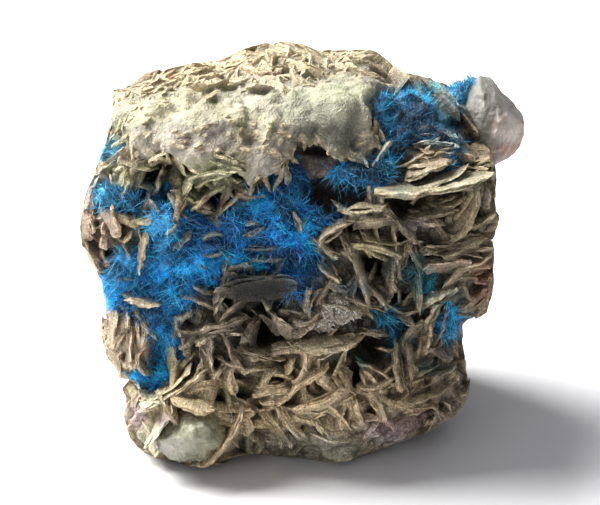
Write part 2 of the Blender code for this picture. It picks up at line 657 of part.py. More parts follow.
def crust(name, chosen, thick, bump, seed, mat):
    """A closed sheet over the chosen quads of the rock's net, with a lumpy outer face."""
    quads = rock_quads[chosen]
    used = np.unique(quads)
    index = -np.ones(len(rock_p), int)
    index[used] = np.arange(len(used))
    inner = rock_p[used] + rock_n[used] * (GAP + 0.08)
    lumps = bump * (noise(rock_p[used], 2.6, seed) + 0.6 * noise(rock_p[used], 5.0, seed + 1))
    outer = rock_p[used] + rock_n[used] * (GAP + thick + lumps)[:, None]
    n = len(used)
    points = np.concatenate([inner, outer])
    points[:, 2] = np.maximum(points[:, 2], 0.02 + 0.02 * (np.arange(2 * n) >= n))
    faces = []
    edges = {}
    for q in quads:
        i = [int(index[v]) for v in q]
        faces.append((i[0] + n, i[1] + n, i[2] + n))
        faces.append((i[0] + n, i[2] + n, i[3] + n))
        faces.append((i[2], i[1], i[0]))
        faces.append((i[3], i[2], i[0]))
        for k in range(4):
            a, b = i[k], i[(k + 1) % 4]
            if (b, a) in edges:
                edges.pop((b, a))
            else:
                edges[(a, b)] = True
    for a, b in edges:
        faces.append((a, b, b + n))
        faces.append((a, b + n, a + n))
    return solid(name, points, faces, mat)


def crystal_mesh(corners, extra=0.0):
    """A faceted crystal: the hull of its corners, grown outward by `extra`."""
    points = np.array([sheet_point(x, y, near) for x, y, near in corners])
    middle = points.mean(axis=0)
    away = points - middle
    reach = np.linalg.norm(away, axis=1)[:, None]
    points = middle + away * (1.0 + 1.25 * extra / reach)
    bm = bmesh.new()
    for point in points:
        bm.verts.new(point)
    hull = bmesh.ops.convex_hull(bm, input=bm.verts)
    spare = [v for v in bm.verts if not v.link_faces]
    bmesh.ops.delete(bm, geom=spare, context="VERTS")
    bmesh.ops.recalc_face_normals(bm, faces=bm.faces)
    bmesh.ops.triangulate(bm, faces=bm.faces)
    if bm.calc_volume(signed=True) < 0:
        bmesh.ops.reverse_faces(bm, faces=bm.faces)
    bm.verts.index_update()
    points = np.array([tuple(v.co) for v in bm.verts])
    faces = [[v.index for v in f.verts] for f in bm.faces]
    bm.free()
    return points, faces


def thinned(obj, share):
    """Collapses the slivers that the Booleans left."""
    modifier = obj.modifiers.new("thin", "DECIMATE")
    modifier.decimate_type = "COLLAPSE"
    modifier.ratio = share
    modifier.use_collapse_triangulate = True
    applied(obj)
    tidy(obj)


# ---------------------------------------------------------------- build
clear_scene()
TAN = material("tan_blades", (0.42, 0.34, 0.24), 0.75)
PALE = material("pale_cap", (0.72, 0.70, 0.55), 0.45)
MILKY = material("milky_crystal", (0.55, 0.48, 0.44), 0.25)
GREEN = material("green_crystal", (0.62, 0.66, 0.52), 0.2)
GLITTER = material("druse_crystal", (0.75, 0.74, 0.70), 0.15)
AZURE = material("azure_fibre", (0.01, 0.17, 0.60), 0.8)

rock_u, rock_quads = ball_net(ROCK_GRID)
rock_p = rock_points(rock_u)
rock_quads = turned_out(rock_p, rock_quads)
rock_n = vertex_normals(rock_p, rock_quads)
rock_n = np.where((rock_p[:, 2:3] < 0.01), (0.0, 0.0, -1.0), rock_n)

deeper = np.where((rock_p[:, 2] < 0.01)[:, None], rock_p - (0.0, 0.0, BASE_CUT), rock_p)
matrix = solid(
    "bladed_matrix",
    deeper,
    [(q[0], q[1], q[2]) for q in rock_quads] + [(q[0], q[2], q[3]) for q in rock_quads],
    TAN,
)
front_places = [blade_place(spec) for spec in BLADES]
places = [
    place
    for spec, place in zip(BLADES, front_places)
    if math.hypot(spec[2] - spec[0], spec[3] - spec[1]) >= LEAST_BLADE
    and blade_mesh(place)[0][:, 2].min() > 0.6
] + side_places()
blades = [solid(f"blade_{k}", *blade_mesh(p), hidden=True) for k, p in enumerate(places)]
combine(matrix, blades, "UNION")

big = [("corner_crystal", CORNER_CRYSTAL, MILKY), ("green_crystal", GREEN_CRYSTAL, GREEN)]
room = [solid(f"room_{name}", *crystal_mesh(spec, GAP), hidden=True) for name, spec, _ in big]
tidy(matrix)
thinned(matrix, MATRIX_SHARE)
combine(matrix, room + [floor_slab()], "DIFFERENCE")
tidy(matrix)

for name, spec, mat in big:
    obj = solid(name, *crystal_mesh(spec), mat)
    combine(obj, [floor_slab()], "DIFFERENCE")
    tidy(obj)

middles = rock_p[rock_quads].mean(axis=1)
quad_u = rock_u[rock_quads].mean(axis=1)
quad_near = (quad_u / np.linalg.norm(quad_u, axis=1)[:, None]) @ TOWARD


def near_ring(ring, reach):
    """Quads with a corner or middle within reach of the outline's inside."""
    ring = np.array(ring, float)
    middle = ring.mean(axis=0)
    grown = middle + (ring - middle) * (1.0 + reach / np.maximum(np.linalg.norm(ring - middle, axis=1), 1.0))[:, None]
    hit = inside(grown, sheet_of(middles))
    for k in range(4):
        hit |= inside(grown, sheet_of(rock_p[rock_quads[:, k]]))
    return hit


def growth(name, ring, mat, thick, bump, seed, least_near, far, cutters, share=0.62):
    chosen = near_ring(ring, 14.0) & (quad_near > least_near)
    obj = crust(name, chosen, thick, bump, seed, mat)
    combine(obj, [prism("wedge", ring, 60.0, far)], "INTERSECT")
    combine(obj, cutters, "DIFFERENCE")
    tidy(obj)
    thinned(obj, share)
    return obj


def clearances(ring):
    """Blades near the outline, grown by the gap, and the larger crystals."""
    ring = np.array(ring, float)
    low, high = ring.min(axis=0) - 30.0, ring.max(axis=0) + 30.0
    found = []
    for k, place in enumerate(places):
        at = sheet_of(place[0][None, :])[0]
        if (at > low).all() and (at < high).all():
            found.append(solid(f"room_{k}", *blade_mesh(place, GAP), hidden=True))
    for name, spec, _ in big:
        found.append(solid(f"room_{name}", *crystal_mesh(spec, GAP), hidden=True))
    return found + [floor_slab()]


growth("pale_cap", CAP_OUTLINE, PALE, CAP_THICK, CAP_BUMP, 41, -2.0, -60.0, clearances(CAP_OUTLINE))
growth("druse", DRUSE_OUTLINE, GLITTER, 1.3, 0.5, 33, 0.2, 0.0, clearances(DRUSE_OUTLINE))
for k, (name, ring) in enumerate(MATS.items()):
    growth(name, ring, AZURE, MAT_THICK, MAT_BUMP, 60 + 3 * k, -0.35, REACH_BACK[name], clearances(ring))
growth("blue_mat_notch", NOTCH_OUTLINE, AZURE, MAT_THICK + 0.8, MAT_BUMP, 97, -0.8, -7.0, clearances(NOTCH_OUTLINE))
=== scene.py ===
"""Looks of the carbonatecyanotrichite specimen: ridged tan blades, sugary pale cap,
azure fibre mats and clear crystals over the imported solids.

The rock's surface is worked out by the same rule as the solids, in millimetres, so that
everything sits in the row frame: +Z up, front towards -Y, flat base on z = 0."""

import math

import bpy
import bmesh
import numpy as np
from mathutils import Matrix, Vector
from mathutils.bvhtree import BVHTree
from mathutils.kdtree import KDTree


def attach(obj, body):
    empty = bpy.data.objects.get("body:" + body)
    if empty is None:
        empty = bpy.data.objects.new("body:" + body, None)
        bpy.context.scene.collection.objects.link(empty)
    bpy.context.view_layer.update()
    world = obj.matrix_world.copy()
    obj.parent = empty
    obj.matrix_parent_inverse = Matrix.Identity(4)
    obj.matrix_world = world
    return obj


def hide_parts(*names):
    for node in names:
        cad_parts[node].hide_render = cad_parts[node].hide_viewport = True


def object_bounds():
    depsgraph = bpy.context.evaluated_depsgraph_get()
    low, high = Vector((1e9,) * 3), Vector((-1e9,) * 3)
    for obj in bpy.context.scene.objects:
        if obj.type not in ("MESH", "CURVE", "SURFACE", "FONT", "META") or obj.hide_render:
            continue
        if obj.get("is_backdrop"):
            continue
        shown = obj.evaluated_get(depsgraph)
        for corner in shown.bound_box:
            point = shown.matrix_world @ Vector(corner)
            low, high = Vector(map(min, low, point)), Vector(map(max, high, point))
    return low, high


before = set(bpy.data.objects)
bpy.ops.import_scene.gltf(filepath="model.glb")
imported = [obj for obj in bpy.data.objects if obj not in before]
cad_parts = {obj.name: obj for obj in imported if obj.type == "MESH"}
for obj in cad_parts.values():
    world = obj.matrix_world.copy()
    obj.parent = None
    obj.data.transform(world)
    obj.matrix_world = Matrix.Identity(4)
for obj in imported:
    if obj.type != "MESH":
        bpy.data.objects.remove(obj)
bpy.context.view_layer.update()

# ---------------------------------------------------------------- driving dimensions
MM = 0.001
HALF_X = 27.0  # half width of the block before its outline is fitted
HALF_Y = 20.5  # half depth
HALF_Z = 24.0  # half height
MID_Z = 22.0  # height of the block's centre over the flat base
BOX_POWER = 3.7  # how square the block is
BLADE_INSET = 1.5  # the rock stays this far inside the outline, blades fill the rest
DRAW_UNIT = 0.126
SHEET_MID = (300.0, 252.5)
VIEW_TILT = math.radians(20.0)
VIEW_REACH = 400.0
GAP = 0.36  # clear gap between neighbouring growths
MAT_THICK = 1.15
MAT_BUMP = 0.45
CAP_THICK = 1.7
CAP_BUMP = 0.8
PLACING_GRID = 60
ORIGIN_SHIFT = (-1.009, 1.071, 0.0)  # moves the middle of the box over the origin

# ---------------------------------------------------------------- outline of the block
OUTLINE = [
    (113, 90), (130, 83), (150, 76), (172, 68), (195, 63), (215, 61), (230, 55),
    (245, 48), (262, 44), (280, 42), (300, 44), (320, 52), (350, 50), (372, 50),
    (385, 58), (400, 74), (425, 80), (445, 88), (462, 98), (476, 120), (486, 145),
    (492, 170), (493, 200), (495, 220), (491, 240), (490, 285), (485, 312),
    (468, 318), (460, 328), (459, 352), (464, 370), (466, 388), (462, 402),
    (455, 413), (440, 424), (420, 432), (400, 440), (380, 447), (362, 453),
    (350, 459), (335, 461), (315, 458), (295, 453), (275, 450), (255, 451),
    (235, 453), (222, 459), (208, 464), (190, 465), (175, 462), (158, 456),
    (143, 449), (132, 437), (128, 418), (129, 402), (127, 388), (121, 374),
    (110, 355), (106, 335), (108, 312), (108, 295), (104, 277), (95, 260),
    (85, 243), (83, 225), (86, 203), (91, 187), (100, 168), (107, 152),
    (111, 136), (112, 110),
]  # fmt: skip

# Swells and hollows of the front: x, y, half width, half height, rise
RELIEF = [
    (158, 140, 30, 20, 1.6), (225, 148, 32, 18, 2.0), (300, 118, 40, 22, 1.0),
    (365, 120, 26, 24, 1.6), (262, 170, 18, 12, 0.8), (160, 186, 13, 9, -3.2),
    (216, 203, 12, 8, -2.6), (238, 184, 7, 5, -2.0), (330, 188, 32, 11, -3.6),
    (292, 168, 9, 9, -2.2), (235, 235, 70, 30, -0.9), (150, 250, 12, 26, -1.0),
    (196, 289, 10, 7, -2.2), (256, 330, 14, 15, -4.4), (232, 397, 15, 8, -3.6),
    (366, 346, 20, 14, -4.2), (356, 375, 8, 8, -3.4), (168, 360, 9, 15, -3.2),
    (152, 340, 5, 18, -1.6), (376, 267, 8, 9, -3.0), (398, 320, 11, 22, -2.6),
    (420, 272, 9, 16, -3.0), (432, 360, 16, 9, -2.8), (402, 186, 9, 9, -1.2),
    (408, 205, 18, 6, -2.6), (452, 148, 6, 20, -2.4), (446, 222, 5, 12, -3.0),
    (440, 185, 40, 12, 1.9), (470, 205, 20, 22, 1.6), (262, 282, 30, 14, 1.9),
    (325, 338, 24, 12, 1.8), (325, 404, 34, 13, 1.8), (225, 410, 20, 8, 1.2),
    (190, 442, 34, 16, 1.2), (330, 446, 40, 12, 1.0), (430, 402, 26, 14, 1.2),
    (362, 232, 30, 24, 1.5), (140, 335, 22, 24, 1.4), (100, 235, 14, 26, 1.0),
    (455, 250, 34, 18, 1.2), (400, 365, 14, 20, 0.8), (446, 345, 14, 16, -0.6),
]  # fmt: skip

# Flat breaks of the back and sides: a direction and how far out the plane lies
BREAKS = [
    (-0.64, 0.70, 0.18, 0.86), (0.68, 0.64, -0.30, 0.86), (0.10, 0.98, 0.05, 0.94),
    (-0.22, 0.92, -0.32, 0.90), (0.88, 0.42, 0.10, 0.90), (-0.88, 0.38, -0.26, 0.88),
    (-0.50, 0.52, -0.69, 0.86), (0.30, 0.56, -0.77, 0.86), (0.80, 0.05, -0.60, 0.93),
]  # fmt: skip

# ---------------------------------------------------------------- blades of the front
# Each blade: x0, y0, x1, y1, seen width. A negative width turns its other face to view.
BLADES = [
    # left edge
    (91, 193, 89, 217, 12), (87, 214, 86, 240, 10), (104, 208, 117, 238, 12),
    (119, 213, 139, 226, 10), (86, 242, 104, 268, 11), (101, 249, 107, 268, 8),
    # under the lip on the left
    (98, 173, 123, 159, 7), (142, 158, 133, 184, 8), (135, 178, 122, 200, 7),
    (192, 174, 182, 198, 7), (184, 193, 178, 220, 7), (232, 180, 219, 213, 7),
    (226, 182, 194, 208, 6), (131, 165, 119, 188, 7),
    # standing out of the blue field
    (145, 230, 141, 264, 8), (179, 219, 167, 234, 8), (189, 231, 177, 247, 8),
    (244, 220, 259, 220, 7), (244, 249, 283, 246, 8), (254, 259, 282, 258, 7),
    (294, 212, 300, 232, 7), (250, 235, 264, 229, 5), (204, 253, 224, 252, 6),
    # lower left
    (126, 296, 161, 304, 11), (124, 315, 111, 346, 17), (146, 319, 131, 366, 14),
    (153, 325, 150, 363, 8), (120, 370, 136, 381, 11), (174, 317, 184, 333, 9),
    (180, 331, 206, 325, 9), (176, 318, 193, 308, 9), (189, 294, 217, 307, 8),
    (196, 342, 216, 332, 9), (209, 338, 209, 362, 10), (229, 274, 218, 303, 9),
    (226, 290, 288, 283, 24), (246, 297, 221, 321, 9), (242, 321, 205, 333, 10),
    (257, 319, 246, 343, 12), (268, 313, 291, 337, 13), (242, 350, 280, 357, 8),
    (275, 350, 309, 344, 7), (205, 372, 150, 401, 13), (226, 362, 229, 394, 14),
    (218, 377, 204, 423, 12), (215, 412, 252, 412, 15), (248, 416, 211, 461, 14),
    (186, 388, 216, 384, 8), (262, 382, 276, 366, 7), (257, 389, 287, 386, 9),
    (266, 411, 288, 442, 11), (277, 405, 301, 437, 8), (323, 365, 293, 390, 12),
    (298, 386, 277, 403, 9), (297, 412, 343, 394, 14), (320, 374, 338, 389, 13),
    (343, 364, 349, 397, 10), (352, 397, 357, 424, 9), (374, 393, 383, 422, 7),
    (361, 386, 391, 379, 9), (141, 390, 160, 412, 10), (162, 405, 152, 432, 9),
    # middle
    (302, 346, 349, 341, 17), (295, 331, 318, 318, 9), (357, 331, 385, 333, 6),
    (326, 281, 347, 289, 9), (352, 302, 385, 303, 9), (358, 278, 386, 304, 9),
    (384, 303, 411, 313, 8), (402, 313, 435, 300, 6), (387, 265, 391, 292, 8),
    (396, 343, 402, 387, 9), (405, 341, 411, 386, 9), (424, 327, 409, 364, 11),
    (364, 368, 378, 385, 8),
    # boxwork right of the middle
    (343, 212, 383, 206, 10), (352, 216, 317, 243, 11), (318, 240, 336, 257, 9),
    (344, 235, 371, 300, 11), (390, 214, 414, 237, 9), (357, 227, 386, 224, 8),
    (351, 241, 397, 251, 17), (406, 241, 398, 275, 7), (407, 241, 424, 266, 9),
    (377, 188, 376, 209, 8), (398, 222, 416, 241, 8), (432, 221, 446, 245, 9),
    # stack on the right
    (384, 195, 486, 177, 18), (409, 175, 450, 158, 14), (418, 157, 450, 150, 8),
    (455, 157, 493, 158, 10), (460, 168, 488, 164, 8), (409, 216, 452, 210, 10),
    (431, 205, 464, 198, 8), (478, 186, 456, 236, 22), (461, 230, 493, 214, 12),
    (447, 243, 493, 233, 9), (440, 253, 493, 247, 9), (426, 267, 466, 262, 10),
    (489, 256, 462, 269, 7), (467, 265, 446, 285, 8), (489, 268, 482, 306, 15),
    (424, 302, 447, 289, 11), (441, 299, 429, 326, 8), (452, 297, 444, 334, 9),
    (488, 292, 462, 314, 14), (420, 86, 455, 121, 8), (417, 271, 418, 309, 7),
    (402, 402, 448, 387, 9), (404, 411, 436, 404, 8), (446, 380, 462, 398, 9),
]  # fmt: skip

# Blades of the sides and the back, spread by rule
SIDE_BLADES = 40
SIDE_SEED = 5
MATRIX_SHARE = 0.66  # share of the triangles kept when slivers are collapsed
LEAST_BLADE = 15.0  # shorter blades belong to the crust of fine grains

# ---------------------------------------------------------------- growths on the rock
MATS = {
    "blue_mat_main": [
        (166, 184), (176, 200), (178, 222), (196, 214), (216, 216), (232, 210),
        (250, 202), (264, 190), (276, 182), (290, 170), (300, 172), (308, 192),
        (318, 212), (342, 204), (342, 214), (322, 232), (313, 245), (320, 258),
        (328, 270), (318, 284), (310, 296), (305, 312), (294, 300), (286, 282),
        (272, 268), (236, 264), (224, 278), (214, 287), (198, 298), (184, 308),
        (174, 320), (178, 340), (176, 358), (164, 374), (148, 388), (134, 390),
        (132, 376), (146, 364), (155, 348), (149, 328), (138, 312), (112, 306),
        (103, 290), (105, 274), (116, 260), (138, 246), (142, 222), (148, 200),
    ],
    "blue_mat_left": [
        (93, 182), (106, 174), (118, 180), (128, 192), (138, 188), (142, 196),
        (136, 214), (126, 212), (117, 205), (106, 207), (97, 205), (89, 197),
    ],
    "blue_mat_upper_right": [
        (376, 100), (392, 92), (404, 86), (420, 84), (434, 90), (440, 100),
        (450, 112), (464, 118), (466, 140), (458, 158), (450, 168), (446, 150),
        (430, 142), (414, 144), (404, 156), (399, 170), (390, 184), (376, 190),
        (364, 184), (350, 186), (338, 190), (328, 184), (340, 174), (356, 168),
        (370, 160), (384, 150), (386, 132), (378, 118),
    ],
    "blue_tuft_right_edge": [
        (442, 318), (452, 312), (464, 314), (464, 328), (458, 344), (447, 338),
    ],
    "blue_tuft_lower_middle": [
        (377, 307), (390, 305), (402, 318), (407, 338), (402, 357), (393, 342),
        (383, 327),
    ],
    "blue_tuft_right": [
        (411, 256), (426, 254), (431, 272), (427, 296), (417, 298), (411, 276),
    ],
    "blue_tuft_left_edge": [
        (95, 146), (105, 139), (117, 140), (121, 150), (116, 160), (104, 162),
        (95, 158),
    ],
}  # fmt: skip

# How far round the block each growth reaches: depth in front of the centre
REACH_BACK = {
    "blue_mat_main": 8.5, "blue_mat_left": 6.5, "blue_mat_upper_right": 2.0,
    "blue_tuft_right_edge": 8.0, "blue_tuft_lower_middle": 0.0, "blue_tuft_right": 0.0,
    "blue_tuft_left_edge": 6.5,
}  # fmt: skip

CAP_OUTLINE = [
    (60, 20), (420, 20), (412, 66), (398, 82), (386, 88), (372, 98), (374, 118),
    (382, 132), (380, 146), (368, 156), (352, 162), (336, 160), (322, 148),
    (306, 140), (296, 152), (288, 164), (274, 176), (262, 184), (250, 196),
    (238, 200), (240, 188), (228, 176), (212, 176), (200, 184), (188, 172),
    (176, 164), (164, 160), (146, 162), (134, 168), (127, 156), (125, 136),
    (112, 131), (96, 126), (60, 112),
]  # fmt: skip

NOTCH_OUTLINE = [
    (443, 92), (450, 84), (464, 76), (478, 72), (476, 88), (470, 96), (476, 104),
    (472, 112), (462, 114), (452, 106),
]  # fmt: skip

DRUSE_OUTLINE = [
    (311, 322), (316, 310), (326, 303), (340, 300), (352, 303), (362, 310),
    (370, 320), (360, 329), (344, 331), (328, 330),
]  # fmt: skip

# Larger crystals: rings of corners x, y, depth in front of the block's centre
CORNER_CRYSTAL = [
    (458, 96, 0), (466, 82, 0.5), (480, 75, 0), (489, 76, -1.5), (497, 84, 0.5),
    (509, 99, 0), (521, 112, -1), (527, 122, 0.5), (526, 138, -0.5), (518, 152, 0.5),
    (504, 162, -1), (492, 168, 0), (470, 160, 0), (456, 140, 0),
    (470, 97, 3.6), (482, 90, 4.2), (496, 98, 4.6), (509, 114, 4.8), (512, 132, 4.4),
    (500, 150, 4.6), (482, 152, 4.8), (466, 134, 4.4), (464, 112, 4.0),
    (486, 112, 5.9), (500, 122, 6.0), (496, 138, 5.9), (478, 130, 5.8),
    (470, 100, -4.0), (486, 88, -4.4), (504, 106, -4.6), (514, 128, -4.4),
    (500, 152, -4.2), (476, 148, -4.6), (462, 120, -4.8), (490, 120, -6.2),
]  # fmt: skip
GREEN_CRYSTAL = [
    (151, 438, 12), (163, 424, 13), (178, 409, 14), (198, 402, 15), (214, 408, 15),
    (225, 424, 15), (229, 442, 14.5), (222, 456, 13.8), (208, 463, 13.2),
    (190, 464, 12.8), (172, 460, 12), (158, 452, 11.6),
    (168, 440, 17), (184, 424, 18.4), (204, 422, 18.8), (216, 440, 18.2),
    (206, 454, 16.4), (184, 456, 15.6), (194, 438, 19.4), (206, 440, 19.2),
    (160, 440, 8), (190, 415, 9), (216, 430, 9), (206, 456, 8.6), (176, 455, 8),
]  # fmt: skip


# ---------------------------------------------------------------- view and noise
RIGHT = np.array([1.0, 0.0, 0.0])
UP = np.array([0.0, math.sin(VIEW_TILT), math.cos(VIEW_TILT)])
TOWARD = np.array([0.0, -math.cos(VIEW_TILT), math.sin(VIEW_TILT)])
CENTRE = np.array([0.0, 0.0, MID_Z])
VIEW_POINT = CENTRE + TOWARD * VIEW_REACH


def sheet_of(points):
    """Places on the drawing sheet of points in millimetres."""
    rel = points - CENTRE
    f = VIEW_REACH / (VIEW_REACH - rel @ TOWARD) / DRAW_UNIT
    return np.stack([SHEET_MID[0] + rel @ RIGHT * f, SHEET_MID[1] - rel @ UP * f], -1)


def sheet_point(x, y, near=0.0):
    """The point of sheet place x, y that lies `near` in front of the block's centre."""
    flat = RIGHT * ((x - SHEET_MID[0]) * DRAW_UNIT) + UP * ((SHEET_MID[1] - y) * DRAW_UNIT)
    return CENTRE + flat * (1.0 - near / VIEW_REACH) + TOWARD * near


def hashed(ix, iy, iz, seed):
    h = ix * np.uint32(0x8DA6B343) ^ iy * np.uint32(0xD8163841) ^ iz * np.uint32(0xCB1AB31F)
    h = h + np.uint32((seed * 0x9E3779B9) & 0xFFFFFFFF)
    h ^= h >> np.uint32(13)
    h *= np.uint32(0x5BD1E995)
    h ^= h >> np.uint32(15)
    h *= np.uint32(0x27D4EB2D)
    h ^= h >> np.uint32(13)
    return h.astype(np.float64) / 4294967295.0 * 2.0 - 1.0


def noise(points, size, seed):
    """Smooth noise between -1 and 1 with features of this size."""
    p = points / size
    cell = np.floor(p)
    f = p - cell
    f = f * f * f * (f * (f * 6.0 - 15.0) + 10.0)
    i = cell.astype(np.int64).astype(np.uint32)
    total = 0.0
    for dx in (0, 1):
        wx = f[..., 0] if dx else 1.0 - f[..., 0]
        for dy in (0, 1):
            wy = f[..., 1] if dy else 1.0 - f[..., 1]
            for dz in (0, 1):
                wz = f[..., 2] if dz else 1.0 - f[..., 2]
                total = total + wx * wy * wz * hashed(
                    i[..., 0] + np.uint32(dx), i[..., 1] + np.uint32(dy),
                    i[..., 2] + np.uint32(dz), seed,
                )  # fmt: skip
    return total


def layered(points, size, seed, octaves=3):
    total, weight = 0.0, 1.0
    for octave in range(octaves):
        total = total + weight * noise(points, size, seed + octave)
        size, weight = size * 0.5, weight * 0.5
    return total


def cellular(points, size, seed):
    """Distance to the nearest of scattered points, one in each cube of this size, as a share
    of the size, and a number that the point carries."""
    q = points / size
    cell = np.floor(q).astype(np.int64)
    best = np.full(len(q), 9.0)
    tone = np.zeros(len(q))
    for shift in np.ndindex(3, 3, 3):
        c = cell + shift - 1
        i = c.astype(np.uint32)
        spot = np.stack([hashed(i[:, 0], i[:, 1], i[:, 2], seed + k) for k in range(3)], -1)
        d = np.linalg.norm(c + 0.5 + 0.45 * spot - q, axis=1)
        nearer = d < best
        best = np.where(nearer, d, best)
        tone = np.where(nearer, hashed(i[:, 0], i[:, 1], i[:, 2], seed + 3), tone)
    return best, tone


def smooth(x):
    x = np.clip(x, 0.0, 1.0)
    return x * x * (3.0 - 2.0 * x)


# ---------------------------------------------------------------- the block of rock
def outline_radius(angles):
    """Distance of the outline from the sheet's middle at each angle, in millimetres."""
    ring = (np.array(OUTLINE, float) - SHEET_MID) * (DRAW_UNIT, -DRAW_UNIT)
    nxt = np.roll(ring, -1, axis=0)
    found = np.zeros(len(angles))
    for k, angle in enumerate(angles):
        d = np.array([math.cos(angle), math.sin(angle)])
        e = nxt - ring
        den = d[0] * e[:, 1] - d[1] * e[:, 0]
        den = np.where(abs(den) < 1e-9, 1e-9, den)
        t = (ring[:, 0] * e[:, 1] - ring[:, 1] * e[:, 0]) / den
        s = (ring[:, 0] * d[1] - ring[:, 1] * d[0]) / den
        hit = t[(s >= 0.0) & (s <= 1.0) & (t > 0.0)]
        found[k] = hit.max() if len(hit) else 20.0
    return found


def box_radius(u):
    q = (abs(u[..., 0]) / HALF_X) ** BOX_POWER
    q = q + (abs(u[..., 1]) / HALF_Y) ** BOX_POWER + (abs(u[..., 2]) / HALF_Z) ** BOX_POWER
    return q ** (-1.0 / BOX_POWER)


def break_limit(u):
    """Distance from the centre to the nearest flat break in each direction."""
    power = BOX_POWER / (BOX_POWER - 1.0)
    limit = np.full(u.shape[:-1], 1e9)
    for x, y, z, share in BREAKS:
        n = np.array((x, y, z)) / math.sqrt(x * x + y * y + z * z)
        halves = abs(n) * (HALF_X, HALF_Y, HALF_Z)
        out = share * (halves**power).sum() ** (1.0 / power)
        facing = u @ n
        limit = np.minimum(limit, np.where(facing > 0.05, out / np.maximum(facing, 0.05), 1e9))
    return limit


def floor_limit(u):
    return np.where(u[..., 2] < -1e-6, MID_Z / np.maximum(-u[..., 2], 1e-6), 1e9)


ANGLES = np.linspace(-math.pi, math.pi, 241)


def fitted_outline():
    """How far to swell the box at each angle round the view line, so that its outline
    seen from the view point is the drawn one."""
    wanted = outline_radius(ANGLES) - BLADE_INSET
    theta = np.radians(np.linspace(14.0, 166.0, 77))
    rho, near = np.sin(theta), np.cos(theta)
    flat = np.cos(ANGLES)[:, None] * RIGHT + np.sin(ANGLES)[:, None] * UP
    u = flat[:, None, :] * rho[None, :, None] + TOWARD * near[None, :, None]
    box, lowest = box_radius(u), floor_limit(u)
    swell = np.ones(len(ANGLES))
    for _ in range(14):
        r = np.minimum(box * (1.0 + (swell[:, None] - 1.0) * rho**2), lowest)
        seen = (r * rho * VIEW_REACH / (VIEW_REACH - r * near)).max(axis=1)
        swell = np.clip(swell * (wanted / seen) ** 0.9, 0.6, 1.5)
    return swell


SWELL = fitted_outline()


def rock_points(u):
    """Points of the rock's surface in the unit directions u from the block's centre."""
    a, b, near = u @ RIGHT, u @ UP, u @ TOWARD
    rho2 = a * a + b * b
    swell = np.interp(np.arctan2(b, a), ANGLES, SWELL)
    r = np.minimum(box_radius(u) * (1.0 + (swell - 1.0) * rho2), break_limit(u))
    p = CENTRE + u * r[..., None]
    place = sheet_of(p)
    front = smooth((near - 0.04) / 0.3)
    for x, y, sx, sy, rise in RELIEF:
        d = ((place[..., 0] - x) / sx) ** 2 + ((place[..., 1] - y) / sy) ** 2
        r = r + front * rise * np.exp(-0.5 * d)
    rim = 1.0 - 0.5 * smooth((rho2 - 0.8) / 0.2)
    r = r + rim * (0.8 * layered(p, 10.0, 3) + 0.35 * noise(p, 3.2, 9))
    back = smooth((-near - 0.1) / 0.4)
    r = r + back * (1.1 * noise(p, 14.0, 17) + 0.9 * noise(p, 6.0, 19) - 0.2)
    r = np.minimum(r, floor_limit(u))
    return CENTRE + u * r[..., None]


# ---------------------------------------------------------------- fine nets
def ball_net(n):
    """Unit directions, quads and flat map of a cube's net blown up to a ball."""
    t = np.linspace(-1.0, 1.0, n + 1)
    t = np.tan(t * 0.7) / math.tan(0.7)
    s, q = np.meshgrid(t, t, indexing="ij")
    one = np.ones_like(s)
    sides = [(one, s, q), (-one, q, s), (q, one, s), (s, -one, q), (s, q, one), (q, s, -one)]
    points, quads, flat = [], [], []
    cell = np.arange(n * (n + 1)).reshape(n, n + 1)[:, :n].reshape(-1)
    row, col = np.divmod(cell, n + 1)
    for k, side in enumerate(sides):
        points.append(np.stack([c.reshape(-1) for c in side], -1))
        first = cell + k * (n + 1) ** 2
        quads.append(np.stack([first, first + n + 1, first + n + 2, first + 1], -1))
        corner = np.stack(
            [np.stack([row + a, col + b], -1) for a, b in ((0, 0), (1, 0), (1, 1), (0, 1))], 1
        )
        corner = 0.01 + 0.98 * corner / n
        flat.append((corner + (k % 3, k // 3)) / (3.0, 2.0))
    points, quads, flat = np.concatenate(points), np.concatenate(quads), np.concatenate(flat)
    points *= (HALF_X, HALF_Y, HALF_Z)
    _, keep, index = np.unique(
        np.round(points, 5), axis=0, return_index=True, return_inverse=True
    )
    points = points[keep]
    u = points / np.linalg.norm(points, axis=1)[:, None]
    return u, index.reshape(-1)[quads], flat


def turned_out(points, quads):
    """Which quads run the right way round when seen from outside."""
    a, b, c = (points[quads[:, k]] for k in (0, 1, 2))
    return ((np.cross(b - a, c - a)) * (a - CENTRE)).sum(axis=1) > 0


def net_of(n):
    u, quads, flat = ball_net(n)
    p = rock_points(u)
    out = turned_out(p, quads)[:, None]
    quads = np.where(out, quads, quads[:, ::-1])
    flat = np.where(out[..., None], flat, flat[:, ::-1])
    return u, p, quads, flat


def inside(ring, places):
    ring = np.array(ring, float)
    nxt = np.roll(ring, -1, axis=0)
    found = np.zeros(places.shape[:-1], int)
    x, y = places[..., 0], places[..., 1]
    for (ax, ay), (bx, by) in zip(ring, nxt):
        cross = (ay > y) != (by > y)
        at = (bx - ax) * (y - ay) / (by - ay + 1e-12) + ax
        found += cross & (x < at)
    return found % 2 == 1


def ring_gap(ring, places):
    """Distance to the outline on the sheet, positive inside it."""
    ring = np.array(ring, float)
    best = np.full(places.shape[:-1], 1e9)
    for a, b in zip(ring, np.roll(ring, -1, axis=0)):
        e = b - a
        t = np.clip(((places - a) @ e) / (e @ e + 1e-9), 0.0, 1.0)
        best = np.minimum(best, np.linalg.norm(places - a - t[..., None] * e, axis=-1))
    return np.where(inside(ring, places), best, -best)


